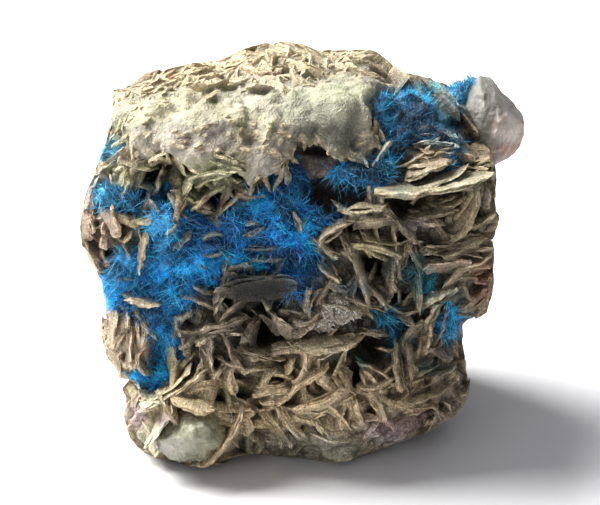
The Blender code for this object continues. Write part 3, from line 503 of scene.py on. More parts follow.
def vertex_normals(points, quads):
    a, b, c, d = (points[quads[:, k]] for k in range(4))
    face = np.cross(c - a, d - b)
    normal = np.zeros_like(points)
    for k in range(4):
        for axis in range(3):
            normal[:, axis] += np.bincount(quads[:, k], face[:, axis], len(points))
    return normal / np.maximum(np.linalg.norm(normal, axis=1), 1e-12)[:, None]


# ---------------------------------------------------------------- placing on the rock
_, placing_points, placing_quads, _ = net_of(PLACING_GRID)
PLACING = BVHTree.FromPolygons(placing_points.tolist(), placing_quads.tolist())


def rock_hit(x, y):
    """The rock's surface seen at a sheet place, or the depth of the nearest rock seen."""
    aim = sheet_point(x, y) - VIEW_POINT
    aim /= np.linalg.norm(aim)
    for step in range(30):
        f = 1.0 - 0.02 * step
        sx = SHEET_MID[0] + (x - SHEET_MID[0]) * f
        sy = SHEET_MID[1] + (y - SHEET_MID[1]) * f
        ray = sheet_point(sx, sy) - VIEW_POINT
        ray /= np.linalg.norm(ray)
        hit, _, _, reach = PLACING.ray_cast(Vector(VIEW_POINT), Vector(ray))
        if hit is not None:
            return VIEW_POINT + aim * reach
    return CENTRE.copy()


def blade_place(spec):
    """Middle, long axis, outward axis and sizes of a blade of the front."""
    x0, y0, x1, y1, wide = spec[:5]
    seen = abs(wide) * DRAW_UNIT
    a, m, b = rock_hit(x0, y0), rock_hit((x0 + x1) / 2, (y0 + y1) / 2), rock_hit(x1, y1)
    flat = RIGHT * (x1 - x0) - UP * (y1 - y0)
    flat_length = np.linalg.norm(flat) * DRAW_UNIT
    flat /= np.linalg.norm(flat)
    slope = np.clip((b - a) @ TOWARD / flat_length, -0.7, 0.7) * 0.55
    length = flat_length * math.sqrt(1.0 + slope * slope)
    along = flat + TOWARD * slope
    along /= np.linalg.norm(along)
    length *= 1.06
    thick = float(np.clip(0.8 * seen, 0.95, 2.1))
    broad = max(0.58 * length, 2.8, 1.2 * seen)
    sine = float(np.clip((seen - 0.75 * thick) / broad, 0.12, 0.93))
    aside = np.cross(TOWARD, along)
    aside /= np.linalg.norm(aside)
    if aside @ (0.6 * RIGHT - UP) < 0:
        aside = -aside
    if wide < 0:
        aside = -aside
    out = TOWARD - along * (TOWARD @ along)
    out /= np.linalg.norm(out)
    outward = out * math.sqrt(1.0 - sine * sine) + aside * sine
    lift = 0.16 * broad + 0.45
    return m + TOWARD * lift, along, outward, (length, broad, thick)


LENS = [(-1, 0), (-0.66, 0.68), (0, 1), (0.66, 0.68), (1, 0), (0.66, -0.68), (0, -1), (-0.66, -0.68)]
LENS_RIDGE = 0.55


def blade_mesh(place, extra=0.0):
    """A lens-shaped blade with a blunt ridge along the middle of both faces."""
    middle, along, outward, (length, broad, thick) = place
    face = np.cross(along, outward)
    hl, hb, ht = length / 2 + extra, broad / 2 + extra, thick / 2 + extra
    points = [middle + along * (s * hl) + outward * (q * hb) for s, q in LENS]
    for side in (1, -1):
        for s in (-LENS_RIDGE, LENS_RIDGE):
            points.append(middle + along * (s * hl) + face * (side * ht))
    upper = [
        (8, 0, 7), (8, 1, 0), (8, 2, 1), (8, 9, 2), (9, 3, 2), (9, 4, 3), (9, 5, 4),
        (9, 6, 5), (9, 8, 6), (8, 7, 6),
    ]  # fmt: skip
    lower = [tuple(v + 2 if v > 7 else v for v in reversed(f)) for f in upper]
    faces = upper + lower
    p = np.array(points)
    f = np.array(faces)
    a, b, c = p[f[:, 0]], p[f[:, 1]], p[f[:, 2]]
    if ((a - middle) * np.cross(b - middle, c - middle)).sum() < 0:
        faces = [tuple(reversed(g)) for g in faces]
    return p, faces


def side_places():
    """Blades of the sides, the back and the top edge, away from the drawn front."""
    rng = np.random.default_rng(SIDE_SEED)
    places = []
    golden = math.pi * (3.0 - math.sqrt(5.0))
    tries = 84
    for k in range(tries):
        height = -0.78 + 1.5 * (k + 0.5) / tries
        angle = k * golden
        flat = math.sqrt(1.0 - height * height)
        u = np.array([math.cos(angle) * flat, math.sin(angle) * flat, height])
        if u @ TOWARD > -0.12:
            continue
        p = rock_points(u[None, :])[0]
        normal = u * (1.0, 1.2, 1.0)
        normal /= np.linalg.norm(normal)
        side = np.cross(normal, (0.0, 0.0, 1.0))
        side /= np.linalg.norm(side)
        rise = np.cross(side, normal)
        turn = rng.normal(0.0, 0.6)
        along = side * math.cos(turn) + rise * math.sin(turn)
        lean = rng.normal(0.35, 0.35)
        outward = normal * math.cos(lean) + np.cross(along, normal) * math.sin(lean)
        length = rng.uniform(5.0, 9.0)
        broad = length * rng.uniform(0.55, 0.8)
        place = p + normal * (0.14 * broad), along, outward, (length, broad, rng.uniform(1.3, 2.2))
        if blade_mesh(place)[0][:, 2].min() > 1.0:
            places.append(place)
        if len(places) == SIDE_BLADES:
            break
    return places


# ---------------------------------------------------------------- meshes
def mesh_object(name, points, faces, mat, nodes, colour=None, flat=None, smooth_faces=True, sharp=None):
    """A mesh from points in millimetres and a list of arrays of faces of one size each."""
    mesh = bpy.data.meshes.new(name)
    shifted = (np.asarray(points) + ORIGIN_SHIFT) * MM
    mesh.vertices.add(len(shifted))
    mesh.vertices.foreach_set("co", shifted.astype(np.float32).reshape(-1))
    sizes = np.concatenate([np.full(len(f), f.shape[1]) for f in faces])
    loops = np.concatenate([f.reshape(-1) for f in faces]).astype(np.int32)
    mesh.loops.add(len(loops))
    mesh.loops.foreach_set("vertex_index", loops)
    mesh.polygons.add(len(sizes))
    starts = np.concatenate([[0], np.cumsum(sizes)[:-1]]).astype(np.int32)
    mesh.polygons.foreach_set("loop_start", starts)
    mesh.polygons.foreach_set("use_smooth", np.full(len(sizes), smooth_faces))
    if colour is not None:
        layer = mesh.color_attributes.new("tint", "FLOAT_COLOR", "POINT")
        rgba = np.ones((len(shifted), 4), np.float32)
        rgba[:, :3] = np.clip(colour, 0.0, 1.0)
        layer.data.foreach_set("color", rgba.reshape(-1))
    if flat is not None:
        layer = mesh.uv_layers.new(name="OFBake")
        layer.data.foreach_set("uv", np.asarray(flat, np.float32).reshape(-1))
    mesh.update(calc_edges=True)
    mesh.validate()
    if sharp is not None:
        mesh.set_sharp_from_angle(angle=math.radians(sharp))
    mesh.materials.append(mat)
    obj = bpy.data.objects.new(name, mesh)
    bpy.context.scene.collection.objects.link(obj)
    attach(obj, "root")
    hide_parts(*nodes)
    return obj


# ---------------------------------------------------------------- colours of the regions
# x, y, half width, half height, colour, strength
TAN = (0.335, 0.265, 0.165)
CREAM = (0.68, 0.56, 0.37)
TINT_SHARE = 0.80  # regional tints are listed as dry colours; the darkest are painted shade
# Most tints are the stone's own tones and teal stains. The near-black spots under the big plate, in the holes at the
# edge of the blue field and under the cap's lip, and the dark brown spot in the cavity below the plate, are painted
# shade.
TINTS = [
    (332, 356, 9, 5, (0.05, 0.34, 0.36), 0.9), (362, 362, 7, 6, (0.05, 0.34, 0.36), 0.9),
    (436, 366, 17, 8, (0.03, 0.20, 0.17), 0.9), (388, 262, 8, 12, (0.02, 0.11, 0.14), 0.9),
    (352, 288, 15, 7, (0.02, 0.16, 0.26), 0.9), (330, 262, 11, 5, (0.04, 0.24, 0.25), 0.8),
    (455, 298, 10, 8, (0.10, 0.26, 0.26), 0.7), (404, 192, 12, 6, (0.03, 0.16, 0.14), 0.8),
    (400, 250, 80, 80, (0.262, 0.242, 0.190), 0.6),
    (240, 320, 70, 50, (0.158, 0.147, 0.118), 0.7), (225, 345, 22, 12, (0.40, 0.34, 0.24), 0.8),
    (225, 375, 16, 14, (0.33, 0.27, 0.22), 0.7),
    (290, 408, 110, 38, (0.90, 0.73, 0.47), 0.85),
    (175, 400, 45, 22, (0.80, 0.66, 0.42), 0.8),
    (322, 350, 28, 11, (0.78, 0.66, 0.44), 0.9), (285, 352, 18, 6, (0.60, 0.50, 0.34), 0.8),
    (98, 230, 16, 44, (0.42, 0.31, 0.24), 0.85),
    (140, 178, 25, 14, (0.47, 0.46, 0.28), 0.8), (117, 160, 16, 12, (0.52, 0.50, 0.32), 0.9),
    (190, 186, 9, 22, (0.41, 0.425, 0.245), 0.9),
    (215, 172, 28, 18, (0.385, 0.40, 0.245), 0.9),
    (130, 335, 22, 28, (0.50, 0.39, 0.28), 0.85),
    (258, 286, 38, 17, (0.036, 0.040, 0.039), 1.0),
    (258, 326, 20, 16, (0.19, 0.155, 0.12), 0.8),
    (374, 246, 26, 9, (0.55, 0.46, 0.28), 0.9),
    (419, 226, 14, 9, (0.33, 0.29, 0.29), 0.8),
    (450, 185, 46, 14, (0.325, 0.305, 0.222), 0.8),
    (430, 195, 18, 6, (0.25, 0.19, 0.13), 0.8),
    (466, 212, 12, 22, (0.50, 0.42, 0.27), 0.8),
    (482, 281, 8, 18, (0.40, 0.22, 0.15), 0.9),
    (435, 296, 12, 7, (0.48, 0.48, 0.36), 0.8),
    (443, 354, 14, 18, (0.28, 0.20, 0.15), 0.8),
    (386, 430, 26, 11, (0.46, 0.34, 0.34), 0.9),
    (137, 417, 9, 12, (0.45, 0.35, 0.34), 0.9),
    (165, 422, 6, 8, (0.43, 0.33, 0.33), 0.9),
    (430, 420, 22, 9, (0.50, 0.37, 0.33), 0.8),
    (460, 408, 14, 24, (0.36, 0.29, 0.22), 0.8),
    (373, 435, 5, 4, (0.80, 0.78, 0.75), 0.9),
    (392, 440, 18, 4, (0.74, 0.70, 0.66), 0.8),
    (343, 449, 15, 9, (0.55, 0.56, 0.42), 0.8),
    (250, 444, 15, 8, (0.22, 0.24, 0.17), 0.8),
    (173, 358, 8, 14, (0.74, 0.64, 0.36), 0.9), (144, 302, 18, 5, (0.60, 0.48, 0.34), 0.9),
    (433, 148, 16, 6, (0.20, 0.16, 0.09), 0.9),
    (484, 200, 6, 15, (0.32, 0.32, 0.24), 0.8),
    (416, 80, 34, 10, (0.24, 0.22, 0.16), 0.9), (448, 106, 30, 22, (0.13, 0.12, 0.085), 0.9),
    (432, 88, 13, 5, (0.03, 0.26, 0.32), 0.85), (430, 124, 20, 8, (0.03, 0.15, 0.24), 0.85),
    (322, 160, 26, 9, (0.10, 0.10, 0.085), 0.9),
    (455, 396, 12, 14, (0.34, 0.28, 0.22), 0.7),
    (300, 444, 34, 12, (0.50, 0.455, 0.39), 0.7),
    (325, 448, 44, 12, (0.53, 0.50, 0.38), 0.6),
    (214, 201, 8, 6, (0.05, 0.045, 0.03), 0.9), (236, 188, 5, 4, (0.05, 0.045, 0.03), 0.8),
    (155, 177, 8, 7, (0.05, 0.045, 0.03), 0.8),
    (120, 137, 8, 12, (0.16, 0.22, 0.11), 0.8),
    (143, 397, 15, 11, (0.78, 0.76, 0.57), 0.8), (153, 438, 17, 12, (0.64, 0.64, 0.49), 0.8),
    (137, 414, 8, 8, (0.50, 0.38, 0.38), 0.8), (166, 424, 6, 6, (0.46, 0.35, 0.36), 0.7),
]  # fmt: skip

# Hollows of the front: x, y, half width, half height. The rock sinks there, fill blades and felt thin out, and the
# colour there is darkened as painted shade.
HOLLOWS = [
    (155, 176, 11, 10), (216, 199, 10, 8), (236, 186, 6, 4), (322, 148, 24, 6),
    (338, 197, 32, 11), (353, 226, 6, 5), (375, 267, 8, 9), (197, 289, 8, 5),
    (270, 327, 10, 14), (232, 397, 15, 6), (369, 348, 18, 13), (355, 373, 9, 8),
    (177, 362, 7, 10), (433, 409, 8, 5), (398, 320, 9, 18), (420, 272, 7, 14),
    (446, 222, 4, 10), (452, 150, 5, 16), (404, 204, 14, 5), (152, 340, 4, 14),
]  # fmt: skip


def blobs(places, spec, grow=1.0):
    x, y, sx, sy = spec[:4]
    d = ((places[..., 0] - x) / (sx * grow)) ** 2 + ((places[..., 1] - y) / (sy * grow)) ** 2
    return np.exp(-0.5 * d * d)


def hollow_at(places, grow=1.0):
    total = np.zeros(places.shape[:-1])
    for spec in HOLLOWS:
        total = np.maximum(total, blobs(places, spec, grow))
    return total


def front_share(points):
    """1 on the drawn front, 0 round the back."""
    rel = points - CENTRE
    return smooth((rel @ TOWARD + 3.0) / 6.0)


def stone_colour(points, seed):
    """Colour of matrix and blades at points in millimetres."""
    place = sheet_of(points)
    front = front_share(points)
    a = noise(points, 9.0, seed)[..., None]
    b = noise(points, 3.4, seed + 1)[..., None]
    c = noise(points, 15.0, seed + 2)[..., None]
    colour = np.array(TAN) * (1.0 + 0.20 * a + 0.14 * b)
    colour = colour + smooth(c * 1.6 - 0.3) * 0.6 * (np.array((0.42, 0.32, 0.28)) - colour)
    d = noise(points, 6.5, seed + 3)[..., None]
    rear = 1.0 - front[..., None]
    colour = colour + rear * smooth(d * 1.8 - 0.2) * 0.55 * (np.array((0.17, 0.13, 0.09)) - colour)
    colour = colour + rear * smooth(-d * 1.8 - 0.3) * 0.45 * (np.array((0.40, 0.37, 0.29)) - colour)
    colour = colour * (1.0 - 0.30 * rear)
    # the regional tints, painted shade in the darkest spots among them
    for spec in TINTS:
        w = (blobs(place, spec) * front * spec[5])[..., None]
        colour = colour + w * (TINT_SHARE * np.array(spec[4]) * (1.0 + 0.12 * b) - colour)
    return colour


BARE = [(144, 302, 20, 7), (145, 246, 7, 14), (172, 358, 8, 16), (116, 222, 9, 16), (205, 288, 12, 7)]


def stained(colour, points, seed):
    """Teal stain on whatever lies close to the blue growths."""
    place = sheet_of(points)
    bare = np.maximum.reduce([blobs(place, spec) for spec in BARE])
    depth = (points - CENTRE) @ TOWARD
    n = noise(points, 1.6, seed) * 0.5 + noise(points, 0.7, seed + 1) * 0.5
    for name, ring in BLUE.items():
        gap = ring_gap(ring, place)
        far = REACH_BACK.get(name, -7.0)
        w = smooth((gap + 9.0) / 14.0 + 0.9 * n - 0.25) * smooth((depth - far) / 2.0)
        teal = TEALS.get(name, (0.03, 0.15, 0.24))
        colour = colour + 0.45 * (w * (1.0 - bare))[..., None] * (np.array(teal) - colour)
    return colour


BLUE = dict(MATS, blue_mat_notch=NOTCH_OUTLINE)
REACH_BACK["blue_mat_notch"] = -7.0
TEALS = {
    "blue_tuft_right": (0.04, 0.26, 0.27), "blue_tuft_lower_middle": (0.05, 0.26, 0.28),
    "blue_mat_upper_right": (0.03, 0.22, 0.30), "blue_mat_notch": (0.10, 0.38, 0.50),
    "blue_tuft_right_edge": (0.04, 0.26, 0.38), "blue_tuft_left_edge": (0.20, 0.40, 0.46),
}  # fmt: skip


# ---------------------------------------------------------------- node materials
def add(tree, kind, values=None, **settings):
    node = tree.nodes.new(kind)
    for key, value in settings.items():
        setattr(node, key, value)
    for key, value in (values or {}).items():
        if isinstance(value, bpy.types.NodeSocket):
            tree.links.new(value, node.inputs[key])
        else:
            node.inputs[key].default_value = value
    return node


def new_material(name):
    mat = bpy.data.materials.new(name)
    mat.use_nodes = True
    tree = mat.node_tree
    return mat, tree, tree.nodes["Principled BSDF"]


def millimetres(tree):
    """Places in millimetres."""
    where = add(tree, "ShaderNodeTexCoord")
    return add(
        tree, "ShaderNodeVectorMath", {0: where.outputs["Object"], 1: (1000.0,) * 3},
        operation="MULTIPLY",
    ).outputs[0]  # fmt: skip


def grain(tree, place, size, detail=3.0, rough=0.6, kind="ShaderNodeTexNoise"):
    return add(
        tree, kind, {"Vector": place, "Scale": 1.0 / size, "Detail": detail, "Roughness": rough}
    ).outputs["Fac"]


def ranged(tree, value, low, high, to_low, to_high):
    return add(
        tree, "ShaderNodeMapRange",
        {"Value": value, "From Min": low, "From Max": high, "To Min": to_low, "To Max": to_high},
    ).outputs["Result"]  # fmt: skip


def times(tree, a, b):
    return add(tree, "ShaderNodeMath", {0: a, 1: b}, operation="MULTIPLY").outputs[0]


def plus(tree, a, b):
    return add(tree, "ShaderNodeMath", {0: a, 1: b}, operation="ADD").outputs[0]


def mottled(tree, colour, value, low=0.7, high=1.25):
    """The colour, darker and lighter with the value."""
    shade = ranged(tree, value, 0.3, 0.7, low, high)
    return add(
        tree, "ShaderNodeVectorMath", {0: colour, 3: shade}, operation="SCALE"
    ).outputs[0]


def bumped(tree, shader, height, distance, strength=1.0, normal=None):
    values = {"Height": height, "Distance": distance * MM, "Strength": strength}
    if normal is not None:
        values["Normal"] = normal
    node = add(tree, "ShaderNodeBump", values)
    tree.links.new(node.outputs["Normal"], shader.inputs["Normal"])
    return node.outputs["Normal"]


def tinted(tree):
    return add(tree, "ShaderNodeAttribute", attribute_name="tint").outputs["Color"]


def stone_material(name, fine=0.22, coarse=0.9, deep=0.10, ridged=False):
    """Matt, finely granular stone with a few dull glints."""
    mat, tree, shader = new_material(name)
    place = millimetres(tree)
    big = grain(tree, place, coarse, 4.0, 0.65)
    small = grain(tree, place, fine, 4.0, 0.7)
    colour = mottled(tree, tinted(tree), big, 0.76, 1.26)
    colour = mottled(tree, colour, small, 0.60, 1.42)
    tree.links.new(colour, shader.inputs["Base Color"])
    rough = ranged(tree, grain(tree, place, 0.3, 2.0), 0.35, 0.65, 0.55, 0.88)
    tree.links.new(rough, shader.inputs["Roughness"])
    shader.inputs["Specular IOR Level"].default_value = 0.35
    crumbs = add(
        tree, "ShaderNodeTexVoronoi", {"Vector": place, "Scale": 1.0 / 0.26}
    ).outputs["Distance"]
    height = plus(tree, times(tree, small, 1.0), times(tree, crumbs, 0.45))
    if ridged:
        local = add(tree, "ShaderNodeAttribute", attribute_name="local").outputs["Vector"]
        across = add(
            tree, "ShaderNodeVectorMath", {0: local, 1: (3.4, 0.55, 1.6)}, operation="MULTIPLY"
        ).outputs[0]
        lengthwise = add(
            tree, "ShaderNodeVectorMath", {0: local, 1: (0.5, 3.6, 5.5)}, operation="MULTIPLY"
        ).outputs[0]
        rays = grain(tree, across, 1.0, 3.0, 0.6)
        steps = grain(tree, lengthwise, 1.0, 3.0, 0.6)
        height = plus(tree, height, plus(tree, times(tree, rays, 1.3), times(tree, steps, 1.0)))
        colour = mottled(tree, colour, rays, 0.66, 1.30)
        colour = mottled(tree, colour, steps, 0.72, 1.26)
        tree.links.new(colour, shader.inputs["Base Color"])
    bumped(tree, shader, height, deep * 2.2)
    return mat


def sugar_material(name, scatter=0.3, fine=0.20, rough=(0.30, 0.62), glint=0.06, deep=0.09):
    """Sugary, slightly translucent crust whose grains catch the light."""
    mat, tree, shader = new_material(name)
    place = millimetres(tree)
    big = grain(tree, place, 1.3, 4.0, 0.65)
    small = grain(tree, place, fine, 3.0, 0.7)
    colour = mottled(tree, tinted(tree), big, 0.84, 1.14)
    colour = mottled(tree, colour, small, 0.80, 1.16)
    tree.links.new(colour, shader.inputs["Base Color"])
    cells = add(tree, "ShaderNodeTexVoronoi", {"Vector": place, "Scale": 1.0 / 0.30})
    pick = add(tree, "ShaderNodeSeparateColor", {"Color": cells.outputs["Color"]}).outputs["Red"]
    shiny = add(tree, "ShaderNodeMath", {0: pick, 1: 0.90}, operation="GREATER_THAN").outputs[0]
    base = ranged(tree, grain(tree, place, 0.5, 2.0), 0.35, 0.65, rough[0], rough[1])
    mixed = add(
        tree, "ShaderNodeMix", {"Factor": shiny, "A": base, "B": glint}, data_type="FLOAT"
    ).outputs["Result"]
    tree.links.new(mixed, shader.inputs["Roughness"])
    shader.inputs["Subsurface Weight"].default_value = scatter
    shader.inputs["Subsurface Radius"].default_value = (1.0, 0.85, 0.5)
    shader.inputs["Subsurface Scale"].default_value = 0.9 * MM
    height = plus(tree, small, times(tree, cells.outputs["Distance"], 0.8))
    bumped(tree, shader, height, deep * 2.0)
    return mat


def fibre_material(name):
    """Silky fibres: soft, with a faint sheen."""
    mat, tree, shader = new_material(name)
    place = millimetres(tree)
    colour = mottled(tree, tinted(tree), grain(tree, place, 0.9, 3.0), 0.62, 1.34)
    colour = mottled(tree, colour, grain(tree, place, 0.2, 2.0), 0.75, 1.25)
    tree.links.new(colour, shader.inputs["Base Color"])
    shader.inputs["Roughness"].default_value = 0.55
    shader.inputs["Specular IOR Level"].default_value = 0.35
    shader.inputs["Sheen Weight"].default_value = 0.15
    shader.inputs["Sheen Tint"].default_value = (0.5, 0.8, 1.0, 1.0)
    return mat


def crystal_material(name, passing, rough, scatter=0.0, deep=0.05, fine=0.5):
    """Clear to milky crystal with plain transmission and IOR."""
    mat, tree, shader = new_material(name)
    place = millimetres(tree)
    colour = mottled(tree, tinted(tree), grain(tree, place, 1.6, 4.0, 0.65), 0.78, 1.20)
    colour = mottled(tree, colour, grain(tree, place, 0.3, 3.0, 0.7), 0.74, 1.22)
    tree.links.new(colour, shader.inputs["Base Color"])
    value = ranged(tree, grain(tree, place, 0.8, 3.0), 0.35, 0.65, rough[0], rough[1])
    tree.links.new(value, shader.inputs["Roughness"])
    shader.inputs["IOR"].default_value = 1.5
    shader.inputs["Transmission Weight"].default_value = passing
    shader.inputs["Subsurface Weight"].default_value = scatter
    shader.inputs["Subsurface Radius"].default_value = (1.0, 0.8, 0.6)
    shader.inputs["Subsurface Scale"].default_value = 1.6 * MM
    small = grain(tree, place, fine, 4.0, 0.7)
    streak = add(
        tree, "ShaderNodeVectorMath", {0: place, 1: (2.6, 0.7, 0.5)}, operation="MULTIPLY"
    ).outputs[0]
    height = plus(tree, small, times(tree, grain(tree, streak, 0.7, 3.0), 0.7))
    bumped(tree, shader, height, deep * 2.0)
    return mat


BLADE = stone_material("blade_stone", fine=0.20, coarse=1.1, deep=0.12, ridged=True)
SUGAR = sugar_material("cap_sugar")
MILKY = crystal_material("milky_crystal_look", 0.30, (0.30, 0.55), 0.30, 0.08, 0.40)
GREEN = crystal_material("green_crystal_look", 0.60, (0.10, 0.34), 0.10, 0.06, 0.45)
CLEAR = crystal_material("druse_look", 0.55, (0.03, 0.12), 0.0, 0.01, 0.4)
FIBRE = fibre_material("azure_fibre_look")


# ---------------------------------------------------------------- host rock
MATRIX_NET = 92
body_u, body_p, body_quads, body_flat = net_of(MATRIX_NET)
body_n = vertex_normals(body_p, body_quads)
body_place = sheet_of(body_p)
rough = 0.34 * layered(body_p, 2.1, 201) + 0.22 * abs(noise(body_p, 0.9, 205)) + 0.12 * noise(body_p, 0.5, 207)
crusty = smooth(blobs(body_place, (350, 446, 120, 20)) + blobs(body_place, (140, 425, 18, 30))) * front_share(body_p)
pull = -0.7 + 0.9 * crusty - 2.4 * hollow_at(body_place) * front_share(body_p)
rough = rough * (1.0 + 1.2 * crusty)
pull = pull + 1.2 * np.exp(-(((body_u @ TOWARD) / 0.28) ** 2))
points = body_p + body_n * (rough + pull)[:, None]
points[:, 2] = np.where(body_p[:, 2] < 0.4, 0.12 + 0.10 * (rough + 0.3), np.maximum(points[:, 2], 0.1))
points[:, 2] = np.where(body_u[:, 2] < -0.80, np.minimum(points[:, 2], 0.05), points[:, 2])
host_points, host_faces = points, body_quads

# ---------------------------------------------------------------- blades
FINE_BLADES = [
    (92, 216, 94, 232, 5), (112, 210, 118, 232, 8), (165, 168, 157, 186, 6),
    (118, 277, 133, 276, 4), (110, 303, 130, 306, 3), (137, 305, 157, 336, 3.5),
    (192, 286, 204, 293, 7), (182, 346, 196, 334, 8), (219, 297, 223, 310, 5),
    (309, 290, 307, 312, 3), (296, 322, 320, 312, 7), (226, 334, 243, 333, 3),
    (222, 365, 214, 377, 5), (185, 384, 215, 382, 5), (188, 392, 214, 390, 5),
    (213, 421, 242, 423, 4), (211, 427, 226, 436, 5), (266, 412, 284, 441, 7),
    (270, 408, 292, 440, 8), (276, 405, 300, 436, 7), (258, 386, 284, 384, 5),
    (256, 393, 285, 391, 5), (262, 400, 280, 402, 6), (272, 369, 292, 377, 5),
    (284, 372, 293, 359, 7), (342, 407, 338, 427, 4), (359, 416, 380, 418, 3),
    (404, 409, 432, 404, 5), (432, 406, 444, 419, 3), (312, 418, 327, 434, 4),
    (398, 312, 412, 324, 5), (290, 343, 308, 353, 5), (369, 185, 370, 202, 3.5),
    (312, 238, 330, 254, 3), (350, 220, 378, 216, 7), (382, 207, 392, 218, 6),
    (390, 252, 391, 286, 7), (320, 262, 338, 280, 9), (483, 185, 484, 215, 14),
    (425, 249, 455, 255, 5), (463, 272, 490, 264, 6), (418, 270, 420, 296, 4),
    (400, 312, 416, 327, 6), (429, 322, 427, 344, 5), (453, 308, 463, 317, 4),
    (459, 315, 470, 317, 6), (462, 166, 488, 163, 6), (458, 172, 482, 170, 6),
    (489, 164, 490, 192, 6), (415, 137, 450, 133, 8), (417, 147, 449, 147, 13),
    (243, 166, 215, 153, 3), (242, 168, 207, 160, 3), (238, 167, 193, 178, 4),
    (232, 172, 200, 184, 5), (231, 183, 200, 203, 5), (247, 237, 264, 228, 2.5),
    (205, 240, 222, 232, 3),
]  # fmt: skip

# Section of a blade: across, through, how pale (a pale rim is partly painted highlight). The outer rim is a stack of
# thin leaves.
SECTION = np.array([
    (0.93, -0.62, 0.6), (1.0, -0.22, 1.0), (0.94, 0.12, 0.6), (0.99, 0.46, 1.0),
    (0.88, 0.78, 0.5), (0.62, 0.95, 0.25), (0.20, 1.02, 0.1), (-0.30, 1.0, 0.05),
    (-1.0, 0.4, 0.0), (-1.0, -0.4, 0.0), (-0.30, -1.0, 0.05), (0.20, -1.02, 0.1),
    (0.62, -0.92, 0.25),
])  # fmt: skip
PLAIN_SECTION = np.array([
    (0.94, -0.55, 0.6), (1.0, 0.0, 1.0), (0.94, 0.60, 0.7), (0.62, 0.95, 0.3),
    (0.0, 1.0, 0.08), (-1.0, 0.0, 0.0), (0.0, -1.0, 0.08), (0.62, -0.90, 0.3),
])  # fmt: skip
SMALL_SECTION = np.array([
    (0.95, -0.5, 0.8), (1.0, 0.3, 1.0), (0.60, 0.95, 0.3), (-0.6, 0.9, 0.05),
    (-1.0, -0.2, 0.0), (0.50, -0.95, 0.2),
])  # fmt: skip

# Blades that lean the other way and turn their shaded under face to view
UNDER = {
    (226, 290), (258, 319), (257, 319), (268, 313), (417, 147), (426, 267), (467, 265),
    (441, 299), (452, 297), (488, 292), (344, 235), (357, 227), (396, 343), (405, 341),
    (246, 297), (242, 321), (143, 320), (153, 325), (375, 100), (218, 377), (248, 416),
    (266, 411), (277, 405), (297, 412), (343, 364), (184, 193), (135, 178), (142, 158),
}  # fmt: skip


def shown_place(spec, sink=0.0):
    """Like blade_place, for the thinner and broader plates that are seen."""
    x0, y0, x1, y1, wide = spec[:5]
    if (x0, y0) in UNDER:
        wide = -wide
    middle, along, outward, (length, broad, thick) = blade_place((x0, y0, x1, y1, wide))
    seen = abs(wide) * DRAW_UNIT
    thick = float(np.clip(0.46 * seen, 0.50, 1.30 if y0 > 330 else 1.10))
    broad = float(np.clip(max(0.60 * length, 1.35 * seen, 2.4), 0.0, 6.6))
    sine = float(np.clip((seen - 0.62 * thick) / broad, 0.10, 0.94))
    aside = np.cross(TOWARD, along)
    aside /= np.linalg.norm(aside)
    if aside @ (0.6 * RIGHT - UP) < 0:
        aside = -aside
    if wide < 0:
        aside = -aside
    out = TOWARD - along * (TOWARD @ along)
    out /= np.linalg.norm(out)
    outward = out * math.sqrt(1.0 - sine * sine) + aside * sine
    lift = 0.10 * broad * math.sqrt(1.0 - sine * sine) + 0.55
    hit = rock_hit((x0 + x1) / 2, (y0 + y1) / 2)
    return hit + TOWARD * (lift - sink), along, outward, (length * 1.03, broad, thick)


